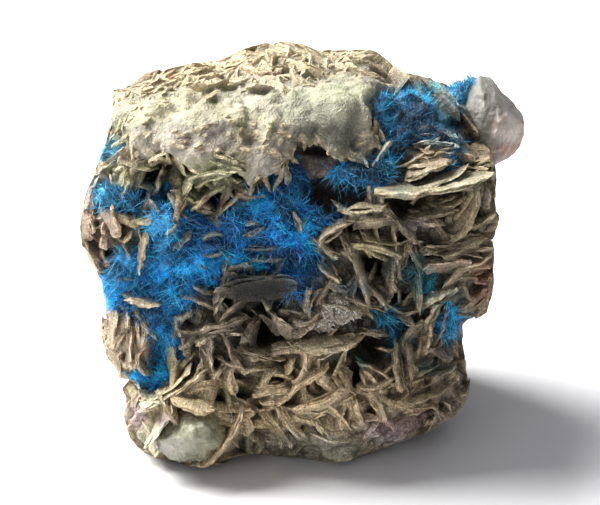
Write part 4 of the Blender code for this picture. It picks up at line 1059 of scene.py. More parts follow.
def blade_batch(places, section, steps, seed, rag=1.0):
    """Points, quads, end faces, flat maps and own places of many blades at once."""
    count, ring = len(places), len(section)
    middle, along, outward = (np.array([p[k] for p in places]) for k in (0, 1, 2))
    half = np.array([p[3] for p in places]) / 2.0
    face = np.cross(along, outward)
    rng = np.random.default_rng(seed)
    s = np.linspace(-1.0, 1.0, steps + 1)
    s = 0.72 * s + 0.28 * np.sin(s * math.pi / 2)
    power = rng.choice([2.0, 3.4, 6.0, 12.0], count, p=[0.22, 0.26, 0.27, 0.25])[:, None]
    plan = np.maximum(1.0 - abs(s[None]) ** power, 0.0) ** rng.uniform(0.38, 0.75, (count, 1))
    plan = np.maximum(plan, 0.05)
    thin = np.maximum(np.maximum(1.0 - abs(s) ** 5, 0.0) ** 0.5, 0.10)
    ids = np.arange(count)[:, None, None]
    skew = rng.uniform(-0.28, 0.28, count)[:, None]
    run = (s[None] + skew * (1.0 - s[None] ** 2)) * half[:, 0:1]
    layer = np.arange(ring)[None, None, :]
    where = np.stack(np.broadcast_arrays(
        run[:, :, None] + ids * 7.31, layer * 2.3 + ids * 1.7, ids * 11.9 + 0.5
    ), -1)  # fmt: skip
    torn = 0.34 * noise(where, 1.5, seed + 1) + 0.30 * (0.5 - abs(noise(where, 0.75, seed + 2)))
    torn = torn + 0.28 * (0.4 - abs(noise(where, 0.36, seed + 3)))
    rim = section[:, 2][None, None, :]
    small = np.clip(half[:, 1] / 2.0, 0.35, 1.3)[:, None, None]
    tips = smooth((abs(s) - 0.5) / 0.5)[None, :, None]
    ends = noise(where * (0.0, 1.0, 1.0) + section[:, 0][:, None] * (0.0, 1.9, 0.0), 1.1, seed + 12)
    push = small * 0.75 * tips * ends * np.sign(s)[None, :, None]
    across = section[:, 0][None, None, :] * plan[:, :, None] * half[:, 1][:, None, None]
    across = across + rag * small * (0.2 + rim) * torn * np.minimum(plan * 2.5, 1.0)[:, :, None]
    bow = rng.normal(0.0, 0.07, count)[:, None] * half[:, 0:1] * (s[None] ** 2 - 0.3)
    across = across + bow[:, :, None]
    through = section[:, 1][None, None, :] * thin[None, :, None] * half[:, 2][:, None, None]
    through = through * (1.0 + 0.25 * noise(where, 1.7, seed + 4))
    bend = rng.normal(0.0, 0.13, count)[:, None] * half[:, 0:1] * (s[None] ** 2 - 0.35)
    cup = rng.normal(0.0, 0.10, count)[:, None, None] * half[:, 1][:, None, None]
    through = through + bend[:, :, None] + cup * section[:, 0][None, None, :] ** 2
    turn = rng.normal(0.0, 0.16, count)[:, None] * s[None]
    ct, st = np.cos(turn)[..., None], np.sin(turn)[..., None]
    o2 = outward[:, None] * ct + face[:, None] * st
    f2 = face[:, None] * ct - outward[:, None] * st
    p = (
        middle[:, None, None]
        + along[:, None, None] * (run[:, :, None] + push)[..., None]
        + o2[:, :, None] * across[..., None]
        + f2[:, :, None] * through[..., None]
    )
    p = p.reshape(-1, 3)
    out = np.repeat(outward, (steps + 1) * ring, axis=0)
    side = np.repeat(face, (steps + 1) * ring, axis=0)
    p = p + side * (0.17 * noise(p, 1.2, seed + 5) + 0.12 * noise(p, 0.5, seed + 6))[:, None]
    p = p + out * (0.14 * noise(p, 0.6, seed + 7))[:, None]
    local = np.stack(np.broadcast_arrays(
        run[:, :, None] + ids * 3.7, across + ids * 5.3, through * 1.0 + 0.0 * run[:, :, None]
    ), -1).reshape(-1, 3)  # fmt: skip
    p[:, 2] = np.maximum(p[:, 2], 0.04)
    i, j = np.meshgrid(np.arange(steps), np.arange(ring), indexing="ij")
    one = np.stack(
        [i * ring + j, i * ring + (j + 1) % ring, (i + 1) * ring + (j + 1) % ring, (i + 1) * ring + j], -1
    ).reshape(-1, 4)
    ends = np.array([np.arange(ring)[::-1], steps * ring + np.arange(ring)])
    base = (np.arange(count) * (steps + 1) * ring)[:, None, None]
    quads = (base + one[None]).reshape(-1, 4)
    caps = (base + ends[None]).reshape(-1, ring)
    first = p[quads[: len(one)]]
    mid = p[: (steps + 1) * ring].mean(axis=0)
    volume = (
        (first[:, 0] - mid) * np.cross(first[:, 1] - mid, first[:, 2] - mid)
    ).sum()
    if volume < 0:
        quads, caps = quads[:, ::-1], caps[:, ::-1]
    # flat map: one cell of an even grid for each blade
    cells = math.ceil(math.sqrt(count))
    u = np.stack([j, j + 1, j + 1, j], -1).reshape(-1, 4) / ring
    v = 0.06 + 0.90 * np.stack([i, i, i + 1, i + 1], -1).reshape(-1, 4) / steps
    one_map = np.stack([0.04 + 0.92 * u, v], -1)
    turn_of = 2.0 * math.pi * np.arange(ring) / ring
    disc = np.stack([0.5 + 0.4 * np.cos(turn_of), 0.03 + 0.02 * np.sin(turn_of)], -1)
    corner = np.stack([np.arange(count) % cells, np.arange(count) // cells], -1)[:, None, None]
    quad_map = ((one_map[None] + corner) / cells).reshape(-1, 4, 2)
    cap_map = ((np.stack([disc, disc])[None] + corner) / cells).reshape(-1, ring, 2)
    if volume < 0:
        quad_map = quad_map[:, ::-1]
    return p, quads, caps, quad_map, cap_map, local


SHELLS = []  # closed shells of the rock and its blades, which one skin joins
PLACES = []  # the blades in the order of their shells


# x, y, half width, half height, how far inside the outline the stone stays there
DRAWN_IN = [
    (142, 82, 22, 12, 7.0), (128, 395, 12, 13, 18.0), (113, 362, 9, 11, 8.0),
    (463, 322, 12, 13, 9.0),
]  # fmt: skip


def kept_in(points, least=2.0):
    """Points that stand out past the drawn outline, drawn back towards it."""
    place = sheet_of(points)
    inset = sum(blobs(place, spec) * spec[4] for spec in DRAWN_IN)
    over = np.maximum(inset - ring_gap(OUTLINE, place) - least, 0.0)
    over = np.where(over > 60.0, 0.0, over)
    rel = points - CENTRE
    rel = rel - (rel @ TOWARD)[:, None] * TOWARD
    rel /= np.maximum(np.linalg.norm(rel, axis=1), 1e-6)[:, None]
    return points - rel * (0.85 * DRAW_UNIT * over)[:, None]


def keep_shells(places, section, steps, seed, rag=1.0):
    made = list(blade_batch(places, section, steps, seed, rag))
    made[0] = kept_in(made[0])
    owner = len(PLACES) + np.repeat(np.arange(len(places)), (steps + 1) * len(section))
    SHELLS.append((made[0], [made[1], made[2]], owner))
    PLACES.extend(places)
    return made


def rock_depth(points):
    """Height over the rock's surface, along the ray from the centre."""
    rel = points - CENTRE
    reach = np.linalg.norm(rel, axis=1)
    u = rel / np.maximum(reach, 1e-6)[:, None]
    surface = np.linalg.norm(rock_points(u) - CENTRE, axis=1)
    return reach - surface


def turned(axis, vector, angle):
    return (
        vector * math.cos(angle)
        + np.cross(axis, vector) * math.sin(angle)
        + axis * (axis @ vector) * (1.0 - math.cos(angle))
    )


def leaves(places, seed, least=1, most=2):
    """Thinner leaves lying against each blade, a little turned and shorter."""
    rng = np.random.default_rng(seed)
    found = []
    for middle, along, outward, (length, broad, thick) in places:
        face = np.cross(along, outward)
        for k in range(int(rng.integers(least, most + 1))):
            side = 1.0 if (k + int(rng.integers(0, 2))) % 2 else -1.0
            share = rng.uniform(0.55, 0.95)
            a = turned(face, along, rng.normal(0.0, 0.16))
            a = turned(outward, a, rng.normal(0.0, 0.14))
            o = outward - a * (a @ outward)
            o /= np.linalg.norm(o)
            shift = face * (side * thick * rng.uniform(0.35, 0.7))
            shift = shift + along * (length * rng.normal(0.0, 0.10))
            shift = shift - outward * (broad * rng.uniform(0.02, 0.14))
            found.append((middle + shift, a, o, (length * share, broad * share, thick * rng.uniform(0.35, 0.6))))
    return found


OVER_CRYSTAL = [
    (150, 440, 170, 406, 12), (206, 464, 244, 414, 13), (176, 398, 212, 406, 15),
    (162, 396, 178, 420, 10), (146, 420, 156, 452, 9),
]  # fmt: skip
OVER_BLUE = [
    (130, 299, 158, 304, 9), (171, 345, 173, 371, 12), (113, 208, 119, 234, 10),
    (146, 236, 143, 256, 8), (133, 352, 150, 372, 12), (196, 284, 214, 292, 8),
]  # fmt: skip
front = [shown_place(spec) for spec in BLADES + FINE_BLADES]
front += [shown_place(spec, -2.7) for spec in OVER_CRYSTAL]
front += [shown_place(spec, -1.5) for spec in OVER_BLUE]
front_made = keep_shells(front, SECTION, 16, 401)
small_front = [place for place, spec in zip(front, BLADES + FINE_BLADES) if abs(spec[4]) < 30]
front_leaves = leaves(small_front, 7, 1, 3)
leaves_made = list(blade_batch(front_leaves, PLAIN_SECTION, 10, 431))
leaves_made[0] = kept_in(leaves_made[0])

# smaller blades that fill the tan areas of the front
rng = np.random.default_rng(91)
spots = []
tried = np.stack([rng.uniform(80, 498, 16000), rng.uniform(60, 468, 16000)], -1)
keep = (ring_gap(OUTLINE, tried) > 1.0) & (ring_gap(CAP_OUTLINE, tried) < 2.0)
for spec in (CORNER_CRYSTAL, GREEN_CRYSTAL):
    hull = np.array([(x, y) for x, y, _ in spec[:12]], float)
    hull = hull[np.argsort(np.arctan2(*(hull - hull.mean(axis=0)).T[::-1]))]
    keep &= ring_gap(hull, tried) < 0.0
keep &= ring_gap(DRUSE_OUTLINE, tried) < 0.0
blue_gap = np.max([ring_gap(ring, tried) for ring in BLUE.values()], axis=0)
crumbs = 0.02 + 0.40 * blobs(tried, (112, 262, 11, 34)) + 0.25 * blobs(tried, (172, 368, 12, 14))
keep &= (blue_gap < -2.0) | (rng.uniform(0, 1, len(tried)) < crumbs)
keep &= rng.uniform(0, 1, len(tried)) > 1.6 * hollow_at(tried, 1.1) - 0.1
crusty = blobs(tried, (350, 446, 120, 18)) + blobs(tried, (140, 425, 20, 28))
crusty = crusty + blobs(tried, (405, 430, 50, 16)) + blobs(tried, (458, 408, 14, 28))
keep &= rng.uniform(0, 1, len(tried)) > 0.9 * crusty
for place in tried[keep]:
    if all(abs(place - other).max() > 10.2 for other in spots):
        spots.append(place)
fill = []
for x, y in spots:
    if 180 < x < 310 and 285 < y < 400 and rng.uniform() < 0.45:
        continue
    low_front = y > 372 and 150 < x < 440
    if low_front and rng.uniform() < (0.35 if x > 235 else 0.12):
        continue
    if x > 330 and 150 < y < 340 and rng.uniform() < 0.42:
        continue
    if 284 < x < 362 and 132 < y < 188 or 380 < x < 470 and 84 < y < 134:
        continue
    angle = 2.4 * float(noise(np.array([x, y, 0.0]), 46.0, 77)) + rng.normal(0.0, 0.55)
    if x > 395 and y < 290:
        angle = -0.14 + rng.normal(0.0, 0.25)
    long = float(np.clip(rng.gamma(7.0, 4.3 if low_front else 3.7), 13.0, 42.0))
    if x < 135 and y < 310:
        long = min(long, 16.0)
    wide = float(np.clip(rng.gamma(3.0, 3.0), 3.0, 16.0)) * (1.0 if rng.uniform() < 0.6 else -1.0)
    wide = wide * (1.35 if low_front else 1.0)
    dx, dy = math.cos(angle) * long / 2, math.sin(angle) * long / 2
    fill.append(shown_place((x - dx, y - dy, x + dx, y + dy, wide), rng.uniform(0.7, 1.7)))
fill_made = keep_shells(fill, SMALL_SECTION, 10, 461)


def side_places_fine(count, seed, low, high, sink):
    rng = np.random.default_rng(seed)
    golden = math.pi * (3.0 - math.sqrt(5.0))
    found = []
    for k in range(count):
        height = -0.92 + 1.86 * (k + 0.5) / count
        angle = k * golden
        flat = math.sqrt(1.0 - height * height)
        u = np.array([math.cos(angle) * flat, math.sin(angle) * flat, height])
        u += rng.normal(0.0, 0.03, 3)
        u /= np.linalg.norm(u)
        if u @ TOWARD > 0.30:
            continue
        p = rock_points(u[None, :])[0]
        if p[2] < 0.8:
            continue
        if u @ TOWARD > -0.25 and ring_gap(CAP_OUTLINE, sheet_of(p)) > -2.0:
            continue
        normal = u * (1.0, 1.2, 1.0)
        normal /= np.linalg.norm(normal)
        side = np.cross(normal, (0.0, 0.0, 1.0) if abs(u[2]) < 0.9 else (0.0, 1.0, 0.0))
        side /= np.linalg.norm(side)
        rise = np.cross(side, normal)
        turn = 2.0 * float(noise(p, 11.0, 83)) + rng.normal(0.0, 0.5)
        along = side * math.cos(turn) + rise * math.sin(turn)
        lean = rng.normal(0.0, 0.8)
        outward = normal * math.cos(lean) + np.cross(along, normal) * math.sin(lean)
        length = rng.uniform(low, high)
        broad = length * rng.uniform(0.5, 0.8)
        rise = 0.12 * broad - sink + 1.3 * math.exp(-(((u @ TOWARD) / 0.34) ** 2))
        found.append((p + normal * rise, along, outward, (length, broad, rng.uniform(0.45, 1.0))))
    return found


sides = side_places()
sides = sides + leaves(sides, 17, 2, 3)
sides_made = keep_shells(sides, PLAIN_SECTION, 9, 501)
around = side_places_fine(1500, 29, 2.2, 6.4, 0.3)
around_made = keep_shells(around[::2], SMALL_SECTION, 6, 531)
keep_shells(around[1::2], SMALL_SECTION, 6, 541)
CRISP = np.ones(len(PLACES), bool)
CRISP[len(PLACES) - len(around[1::2]) :] = False


# ---------------------------------------------------------------- one skin over rock and blades
FINE_SKIN = 0.35  # grid of the skin on the drawn front
PLAIN_SKIN = 0.46  # grid of the skin round the back


def skin_over(shells, size):
    """Points and quads of one skin round all the closed shells, in millimetres."""
    points, faces, first = [], [], 0
    for p, groups, _ in shells:
        points.append(p)
        faces += [f + first for f in groups]
        first += len(p)
    points = np.concatenate(points)
    mesh = bpy.data.meshes.new("skin_source")
    mesh.vertices.add(len(points))
    mesh.vertices.foreach_set("co", points.astype(np.float32).reshape(-1))
    sizes = np.concatenate([np.full(len(f), f.shape[1]) for f in faces])
    loops = np.concatenate([f.reshape(-1) for f in faces]).astype(np.int32)
    mesh.loops.add(len(loops))
    mesh.loops.foreach_set("vertex_index", loops)
    mesh.polygons.add(len(sizes))
    mesh.polygons.foreach_set("loop_start", np.concatenate([[0], np.cumsum(sizes)[:-1]]).astype(np.int32))
    mesh.update(calc_edges=True)
    holder = bpy.data.objects.new("skin_source", mesh)
    bpy.context.scene.collection.objects.link(holder)
    remesh = holder.modifiers.new("skin", "REMESH")
    remesh.mode = "VOXEL"
    remesh.voxel_size = size
    made = bpy.data.meshes.new_from_object(holder.evaluated_get(bpy.context.evaluated_depsgraph_get()))
    skin = np.empty(len(made.vertices) * 3, np.float32)
    made.vertices.foreach_get("co", skin)
    corners = np.empty(len(made.loops), np.int32)
    made.loops.foreach_get("vertex_index", corners)
    bpy.data.objects.remove(holder)
    bpy.data.meshes.remove(mesh)
    bpy.data.meshes.remove(made)
    return skin.reshape(-1, 3).astype(float), corners.reshape(-1, 4)


def quad_normals(points, quads):
    a, b, c, d = (points[quads[:, k]] for k in range(4))
    face = np.cross(c - a, d - b)
    n = np.stack([
        np.bincount(quads.reshape(-1), np.repeat(face[:, k], 4), len(points)) for k in range(3)
    ], -1)  # fmt: skip
    return n / np.maximum(np.linalg.norm(n, axis=1), 1e-12)[:, None]


def spread(values, edges, rounds, share=0.6):
    """Values drawn towards the mean of their neighbours."""
    a, b = edges[:, 0], edges[:, 1]
    count = len(values)
    near = np.bincount(a, minlength=count) + np.bincount(b, minlength=count)
    for _ in range(rounds):
        total = np.stack([
            np.bincount(a, values[b, k], count) + np.bincount(b, values[a, k], count)
            for k in range(values.shape[1])
        ], -1)  # fmt: skip
        values = values + share * (total / np.maximum(near, 1)[:, None] - values)
    return values


def quad_edges(quads):
    ends = np.concatenate([quads[:, [0, 1]], quads[:, [1, 2]], quads[:, [2, 3]], quads[:, [3, 0]]])
    return np.unique(np.sort(ends, axis=1), axis=0)


def tree_of(points):
    tree = KDTree(len(points))
    for k, q in enumerate(points.tolist()):
        tree.insert(q, k)
    tree.balance()
    return tree


OWNERS = np.concatenate([owner for _, _, owner in SHELLS])
TREE = tree_of(np.concatenate([p for p, _, _ in SHELLS]))
BLADE_MID, BLADE_ALONG, BLADE_OUT = (np.array([place[k] for place in PLACES]) for k in (0, 1, 2))


def blade_frame(points):
    """Place of each point along and out from its nearest blade."""
    owner = OWNERS[[TREE.find(q)[1] for q in points.tolist()]]
    rel = points - BLADE_MID[owner]
    face = np.cross(BLADE_ALONG[owner], BLADE_OUT[owner])
    return np.stack([
        (rel * BLADE_ALONG[owner]).sum(axis=1) + owner * 3.7,
        (rel * BLADE_OUT[owner]).sum(axis=1) + owner * 5.3,
        (rel * face).sum(axis=1),
    ], -1), owner  # fmt: skip


def bladed_skin(size):
    shells = [(host_points, [host_faces], None)] + SHELLS
    p, quads = skin_over(shells, size)
    edges = quad_edges(quads)
    p = spread(p, edges, 1, 0.4)
    normal = quad_normals(p, quads)
    small = ((p - spread(p, edges, round(0.9 / size))) * normal).sum(axis=1)
    large = ((p - spread(p, edges, round(6.0 / size))) * normal).sum(axis=1)
    local, owner = blade_frame(p)
    streaks = noise(local * (2.6, 0.5, 0.8), 1.0, 905)
    steps = noise(local * (0.35, 2.2, 3.4), 1.0, 907)
    lump = 0.10 * noise(p, 0.9, 911) + 0.07 * noise(p, 0.55, 912)
    place = sheet_of(p)
    front = front_share(p)
    crust = blobs(place, (350, 446, 120, 20)) + blobs(place, (140, 425, 18, 30))
    crust = smooth(crust + 0.8 * blobs(place, (405, 430, 50, 16)) + 0.8 * blobs(place, (458, 408, 14, 28))) * front
    lump = lump * (1.0 + 1.5 * crust)
    height = lump + 0.06 * streaks + 0.07 * steps * (1.0 - crust)
    height = height - 0.12 * CRISP[owner] * smooth(rock_depth(p) + 0.8)
    moved = kept_in(p + normal * height[:, None], 1.5)
    flat = p[:, 2] < 0.35
    moved[:, 2] = np.where(flat, np.minimum(moved[:, 2], p[:, 2]), moved[:, 2])
    moved[:, 2] = np.maximum(moved[:, 2], 0.03)
    rng = np.random.default_rng(917)
    vary = 1.0 + rng.normal(0.0, 0.13, (len(PLACES), 1)) + rng.normal(0.0, 0.03, (len(PLACES), 3))
    tone = stone_colour(p, 311) * (0.5 + 0.5 * vary[owner])
    tone = tone * (0.94 + 0.16 * streaks + 0.10 * steps)[:, None]
    # Ridges paler and creamier: partly the blades' own pale edges, partly painted highlight.
    rim = smooth((small - 0.015) / 0.13) * (0.70 + 0.45 * noise(p, 0.8, 919))
    pale = tone * 1.35 + np.array(CREAM) * 0.22
    colour = tone + (np.clip(rim, 0.0, 1.0) * 0.9)[:, None] * (pale - tone)
    # Painted shade: darker in clefts, in deep hollows, low down against the rock and in the listed hollows.
    cleft_shade = smooth((-small - 0.01) / 0.10) * 0.50
    deep = smooth((-large - 0.05) / 0.9) * 0.72
    sunk_shade = 1.0 - smooth((rock_depth(p) + 1.4) / 2.2)
    hole = hollow_at(place) * front
    painted_shade = 1.0 - (1.0 - cleft_shade) * (1.0 - deep) * (1.0 - 0.5 * sunk_shade) * (1.0 - 0.72 * hole * (0.4 + 0.6 * sunk_shade))
    colour = colour * (1.0 - painted_shade)[:, None] * (1.0, 0.985, 0.96)
    colour = stained(colour, p, 931)
    shade = blobs(place, (260, 287, 36, 15)) * front
    colour = colour * (1.0 - 0.80 * shade)[:, None]
    return moved, quads, colour, local, (p - CENTRE) @ TOWARD


def skin_piece(name, skin, keep):
    p, quads, colour, local, _ = skin
    quads = quads[keep]
    used = np.unique(quads)
    index = np.zeros(len(p), int)
    index[used] = np.arange(len(used))
    obj = mesh_object(name, p[used], [index[quads]], BLADE, ["bladed_matrix"], colour[used])
    layer = obj.data.attributes.new("local", "FLOAT_VECTOR", "POINT")
    layer.data.foreach_set("vector", local[used].astype(np.float32).reshape(-1))


SEAM = 1.5  # how far towards the view the plain skin ends
fine = bladed_skin(FINE_SKIN)
near = fine[4][fine[1]].max(axis=1) > SEAM - 0.6
across = fine[0][fine[1]].mean(axis=1)[:, 0]
skin_piece("bladed_front_left", fine, near & (across < 0.0))
skin_piece("bladed_front_right", fine, near & (across >= 0.0))


def crisp_blades(name, made, section, seed, skin, tree):
    """The seen blades themselves, whose thin rims stand clear of the skin that joins them."""
    p, quads, caps, quad_map, cap_map, local = made
    near = np.array([tree.find(q)[1] for q in p.tolist()])
    colour = skin[2][near]
    count = len(caps) // 2
    ring = len(section)
    rim = np.tile(section[:, 2], len(p) // ring)
    rng = np.random.default_rng(seed)
    vary = np.repeat(1.0 + rng.normal(0.0, 0.13, count), len(p) // count)
    # Rims paler and brighter: partly the blades' own pale edges, partly painted highlight. The colour taken from the
    # skin carries its painted shade.
    speck = 0.5 + 0.5 * noise(p, 0.7, seed + 1) + 0.4 * noise(p, 0.4, seed + 2)
    bright = np.clip(rim * (0.30 + 0.85 * speck), 0.0, 1.1)
    colour = colour * (vary * (0.90 + 0.10 * noise(p, 1.4, seed + 3)))[:, None]
    level = (colour.mean(axis=1) / 0.22)[:, None]
    colour = colour * (1.0 + 0.62 * bright)[:, None] + 0.11 * np.clip(level, 0.2, 1.0) * bright[:, None] * CREAM
    colour = colour * np.minimum(1.0, 0.70 / np.maximum(colour.max(axis=1), 0.01))[:, None]
    flat = np.concatenate([quad_map.reshape(-1, 2), cap_map.reshape(-1, 2)])
    obj = mesh_object(
        name, p, [quads, caps], BLADE, ["bladed_matrix"], np.clip(colour, 0.004, 0.82), flat, True, 38
    )
    layer = obj.data.attributes.new("local", "FLOAT_VECTOR", "POINT")
    layer.data.foreach_set("vector", local.astype(np.float32).reshape(-1))


fine_tree = tree_of(fine[0])
crisp_blades("front_blades", front_made, SECTION, 951, fine, fine_tree)
crisp_blades("front_leaves", leaves_made, PLAIN_SECTION, 961, fine, fine_tree)
crisp_blades("front_small_blades", fill_made, SMALL_SECTION, 971, fine, fine_tree)
plain = bladed_skin(PLAIN_SKIN)
skin_piece("bladed_back", plain, plain[4][plain[1]].min(axis=1) < SEAM)
plain_tree = tree_of(plain[0])
crisp_blades("side_blades", sides_made, PLAIN_SECTION, 981, plain, plain_tree)
crisp_blades("side_small_blades", around_made, SMALL_SECTION, 991, plain, plain_tree)

# ---------------------------------------------------------------- crusts and mats
GROWTH_NET = 150
net_u, net_p, net_quads, net_flat = net_of(GROWTH_NET)
net_n = vertex_normals(net_p, net_quads)
net_place = sheet_of(net_p)
net_depth = (net_p - CENTRE) @ TOWARD
net_near = net_u @ TOWARD


def growth(ring, far, edge, height_of, seed, rise=1.3):
    """Closed sheet over the rock inside the outline: its outer points, faces, share of
    full thickness and flat map."""
    wander = 6.0 * noise(net_p, 2.2, seed) + 5.0 * noise(net_p, 1.0, seed + 1)
    gap = ring_gap(ring, sheet_of(net_p + net_n * rise)) + wander
    share = smooth(np.minimum((gap + 1.0) / edge, (net_depth - far) / 1.4))
    chosen = (share[net_quads] > 0.0).any(axis=1) & (net_near[net_quads] > -0.98).all(axis=1)
    quads = net_quads[chosen]
    used = np.unique(quads)
    index = -np.ones(len(net_p), int)
    index[used] = np.arange(len(used))
    w = share[used]
    base, normal = net_p[used], net_n[used]
    height = height_of(base, net_place[used], w)
    outer = base + normal * (-0.95 + (height + 0.95) * w)[:, None]
    inner = base - normal * 1.15
    points = np.concatenate([outer, inner])
    points[:, 2] = np.maximum(points[:, 2], 0.05)
    local = index[quads]
    n = len(used)
    ends = np.concatenate([local[:, [0, 1]], local[:, [1, 2]], local[:, [2, 3]], local[:, [3, 0]]])
    key = np.sort(ends, axis=1)
    _, first, times_used = np.unique(key, axis=0, return_index=True, return_counts=True)
    rim = ends[first[times_used == 1]]
    wall = np.stack([rim[:, 1], rim[:, 0], rim[:, 0] + n, rim[:, 1] + n], -1)
    faces = np.concatenate([local, local[:, ::-1] + n, wall])
    flat = net_flat[chosen]
    back = flat[:, ::-1] * 0.0 + np.array((0.002, 0.002)) + 0.004 * (flat[:, ::-1] % 0.3)
    side = np.zeros((len(wall), 4, 2)) + np.array([(0.0, 0.0), (0.001, 0.0), (0.001, 0.001), (0.0, 0.001)])
    return points, faces, w, n, np.concatenate([flat, back, side]), normal


# Tones of the cap: x, y, half width, half height, colour, strength. The near-black band along the lower front of the
# right lobe and the small dark spots are painted shade; the rest are the crust's own tones.
CAP_TINTS = [
    (180, 105, 52, 22, (0.37, 0.345, 0.225), 0.9),
    (165, 112, 24, 12, (0.43, 0.41, 0.27), 0.8),
    (235, 112, 22, 14, (0.34, 0.33, 0.22), 0.8),
    (335, 106, 52, 30, (0.205, 0.215, 0.148), 0.95),
    (325, 92, 44, 9, (0.31, 0.32, 0.21), 0.9),
    (340, 138, 48, 15, (0.085, 0.084, 0.060), 0.95),
    (200, 140, 62, 13, (0.27, 0.245, 0.20), 0.8),
    (270, 76, 44, 12, (0.33, 0.28, 0.245), 0.7),
    (372, 132, 12, 16, (0.32, 0.28, 0.22), 0.8),
    (243, 142, 10, 20, (0.26, 0.23, 0.12), 0.8),
    (190, 146, 34, 14, (0.34, 0.30, 0.25), 0.8),
    (215, 133, 12, 9, (0.30, 0.275, 0.24), 0.8),
    (175, 131, 9, 8, (0.29, 0.26, 0.22), 0.8),
    (201, 150, 5, 4, (0.17, 0.10, 0.05), 0.9),
    (140, 145, 16, 12, (0.46, 0.40, 0.31), 0.7),
    (268, 165, 24, 20, (0.31, 0.285, 0.235), 0.9),
    (215, 60, 90, 12, (0.40, 0.345, 0.235), 0.8),
    (350, 60, 40, 9, (0.34, 0.30, 0.24), 0.8),
    (250, 95, 30, 12, (0.42, 0.40, 0.31), 0.7),
    (220, 168, 26, 10, (0.30, 0.30, 0.17), 0.8),
    (118, 131, 5, 12, (0.05, 0.10, 0.035), 0.9),
    (172, 77, 4, 4, (0.50, 0.20, 0.11), 0.8),
]  # fmt: skip


def cap_height(p, place, w):
    lumps = 0.55 * noise(p, 3.6, 611) + 0.42 * noise(p, 1.9, 612) + 0.28 * noise(p, 1.0, 613)
    lumps = lumps + 0.12 * noise(p, 0.55, 614) + 0.30 * abs(noise(p, 2.6, 615))
    brow = smooth((place[:, 1] - 78) / 30) * front_share(p)
    lip = np.exp(-0.5 * (((place[:, 0] - 330) / 40) ** 2 + ((place[:, 1] - 118) / 14) ** 2))
    lip2 = np.exp(-0.5 * (((place[:, 0] - 180) / 46) ** 2 + ((place[:, 1] - 108) / 16) ** 2))
    under = smooth((place[:, 1] - 126) / 22) * smooth((place[:, 0] - 286) / 12)
    sharp = 0.55 * (0.35 - abs(noise(p, 2.1, 617))) + 0.40 * (0.35 - abs(noise(p, 1.1, 618)))
    lumps = lumps + sharp * (1.0 - 0.6 * lip)
    return 0.50 + 0.70 * brow + lumps * (0.75 + 0.35 * brow) + 1.3 * lip + 0.8 * lip2 - 1.1 * under


def cap_colour(p):
    place = sheet_of(p)
    front = front_share(p)
    a, b = noise(p, 5.0, 621)[:, None], noise(p, 2.0, 622)[:, None]
    colour = np.array((0.31, 0.28, 0.205)) * (1.0 + 0.16 * a + 0.18 * b)
    for spec in CAP_TINTS:
        w = (blobs(place, spec) * (0.15 + 0.85 * front) * spec[5])[:, None]
        colour = colour + w * (np.array(spec[4]) * (1.0 + 0.12 * b) - colour)
    n = noise(p, 1.2, 623)
    rust = smooth((noise(p, 1.9, 624) - 0.45) / 0.25) * smooth((place[:, 1] * -1.0 + 88) / 20)
    colour = colour + 0.45 * rust[:, None] * (np.array((0.30, 0.17, 0.11)) - colour)
    return colour * (0.94 + 0.22 * n[:, None])


cap_p, cap_faces, cap_w, cap_n, cap_flat, cap_normal = growth(CAP_OUTLINE, -60.0, 9.0, cap_height, 601)

# chips of blade on the crest and the ledge of the cap
rng = np.random.default_rng(97)
outer = cap_p[:cap_n]
good = np.flatnonzero(cap_w > 0.8)
place = sheet_of(outer[good])
crest = blobs(place, (205, 64, 105, 19)) + 0.35 * blobs(place, (345, 60, 50, 9))
rear = ((outer[good] - CENTRE) @ TOWARD < 4.0) * (outer[good][:, 2] > 41.0)
crest = crest + 0.25 * rear + 0.30 * blobs(place, (372, 134, 12, 14))
belt = blobs(place, (205, 142, 80, 20)) + blobs(place, (150, 95, 34, 26)) + blobs(place, (262, 165, 34, 20))
crest = crest + 0.30 * belt
chosen = good[rng.uniform(0, 1, len(good)) < np.clip(crest, 0, 1)]
rng.shuffle(chosen)
picked = []
grid = {}
for v in chosen:
    cell = tuple(np.floor(outer[v] / 0.78).astype(int))
    if cell not in grid:
        grid[cell] = True
        picked.append(v)
picked = picked[:1050]
chips = []
for v in picked:
    normal = cap_normal[v]
    side = np.cross(normal, (0.0, 1.0, 0.2))
    side /= np.linalg.norm(side)
    turn = 2.8 * float(noise(outer[v], 4.2, 661)) + rng.normal(0.0, 0.38)
    along = turned(normal, side, turn)
    along = along + normal * rng.normal(0.0, 0.22)
    along /= np.linalg.norm(along)
    out = normal - along * (along @ normal)
    out /= np.linalg.norm(out)
    out = turned(along, out, rng.normal(0.0, 0.9))
    x, y = sheet_of(outer[v])
    length = float(np.clip(rng.gamma(5.0, 0.62), 1.2, 5.6)) * (0.42 if y > 96 or x < 128 else 1.0)
    broad = max(length * rng.uniform(0.16, 0.30), 0.40)
    chips.append((outer[v] + normal * (0.18 * broad), along, out, (length, broad, rng.uniform(0.34, 0.62))))
lip = np.flatnonzero((cap_w > 0.15) & (cap_w < 0.85))
lip_place = sheet_of(outer[lip])
lip = lip[(lip_place[:, 1] > 126) & ((outer[lip] - CENTRE) @ TOWARD > 6.0)]
rng.shuffle(lip)
for v in lip[:110]:
    x, y = sheet_of(outer[v])
    share = 1.0 if x < 284 else 0.7
    along = -0.8 * UP + RIGHT * rng.normal(-0.35 if x < 200 else 0.2, 1.0) + TOWARD * rng.normal(0.1, 0.45)
    along /= np.linalg.norm(along)
    out = TOWARD + RIGHT * rng.normal(0.0, 0.8)
    out = out - along * (along @ out)
    out /= np.linalg.norm(out)
    length = float(np.clip(rng.gamma(4.0, 0.55), 0.8, 4.4)) * share
    start = outer[v] + cap_normal[v] * 0.35 + along * (0.30 * length)
    chips.append((start, along, out, (length, max(0.22 * length, 0.4), rng.uniform(0.28, 0.5))))
chip_made = list(blade_batch(chips, SMALL_SECTION, 5, 651))
chip_made[0] = kept_in(chip_made[0], 0.0)
chip_p, chip_quads, chip_ends = chip_made[:3]

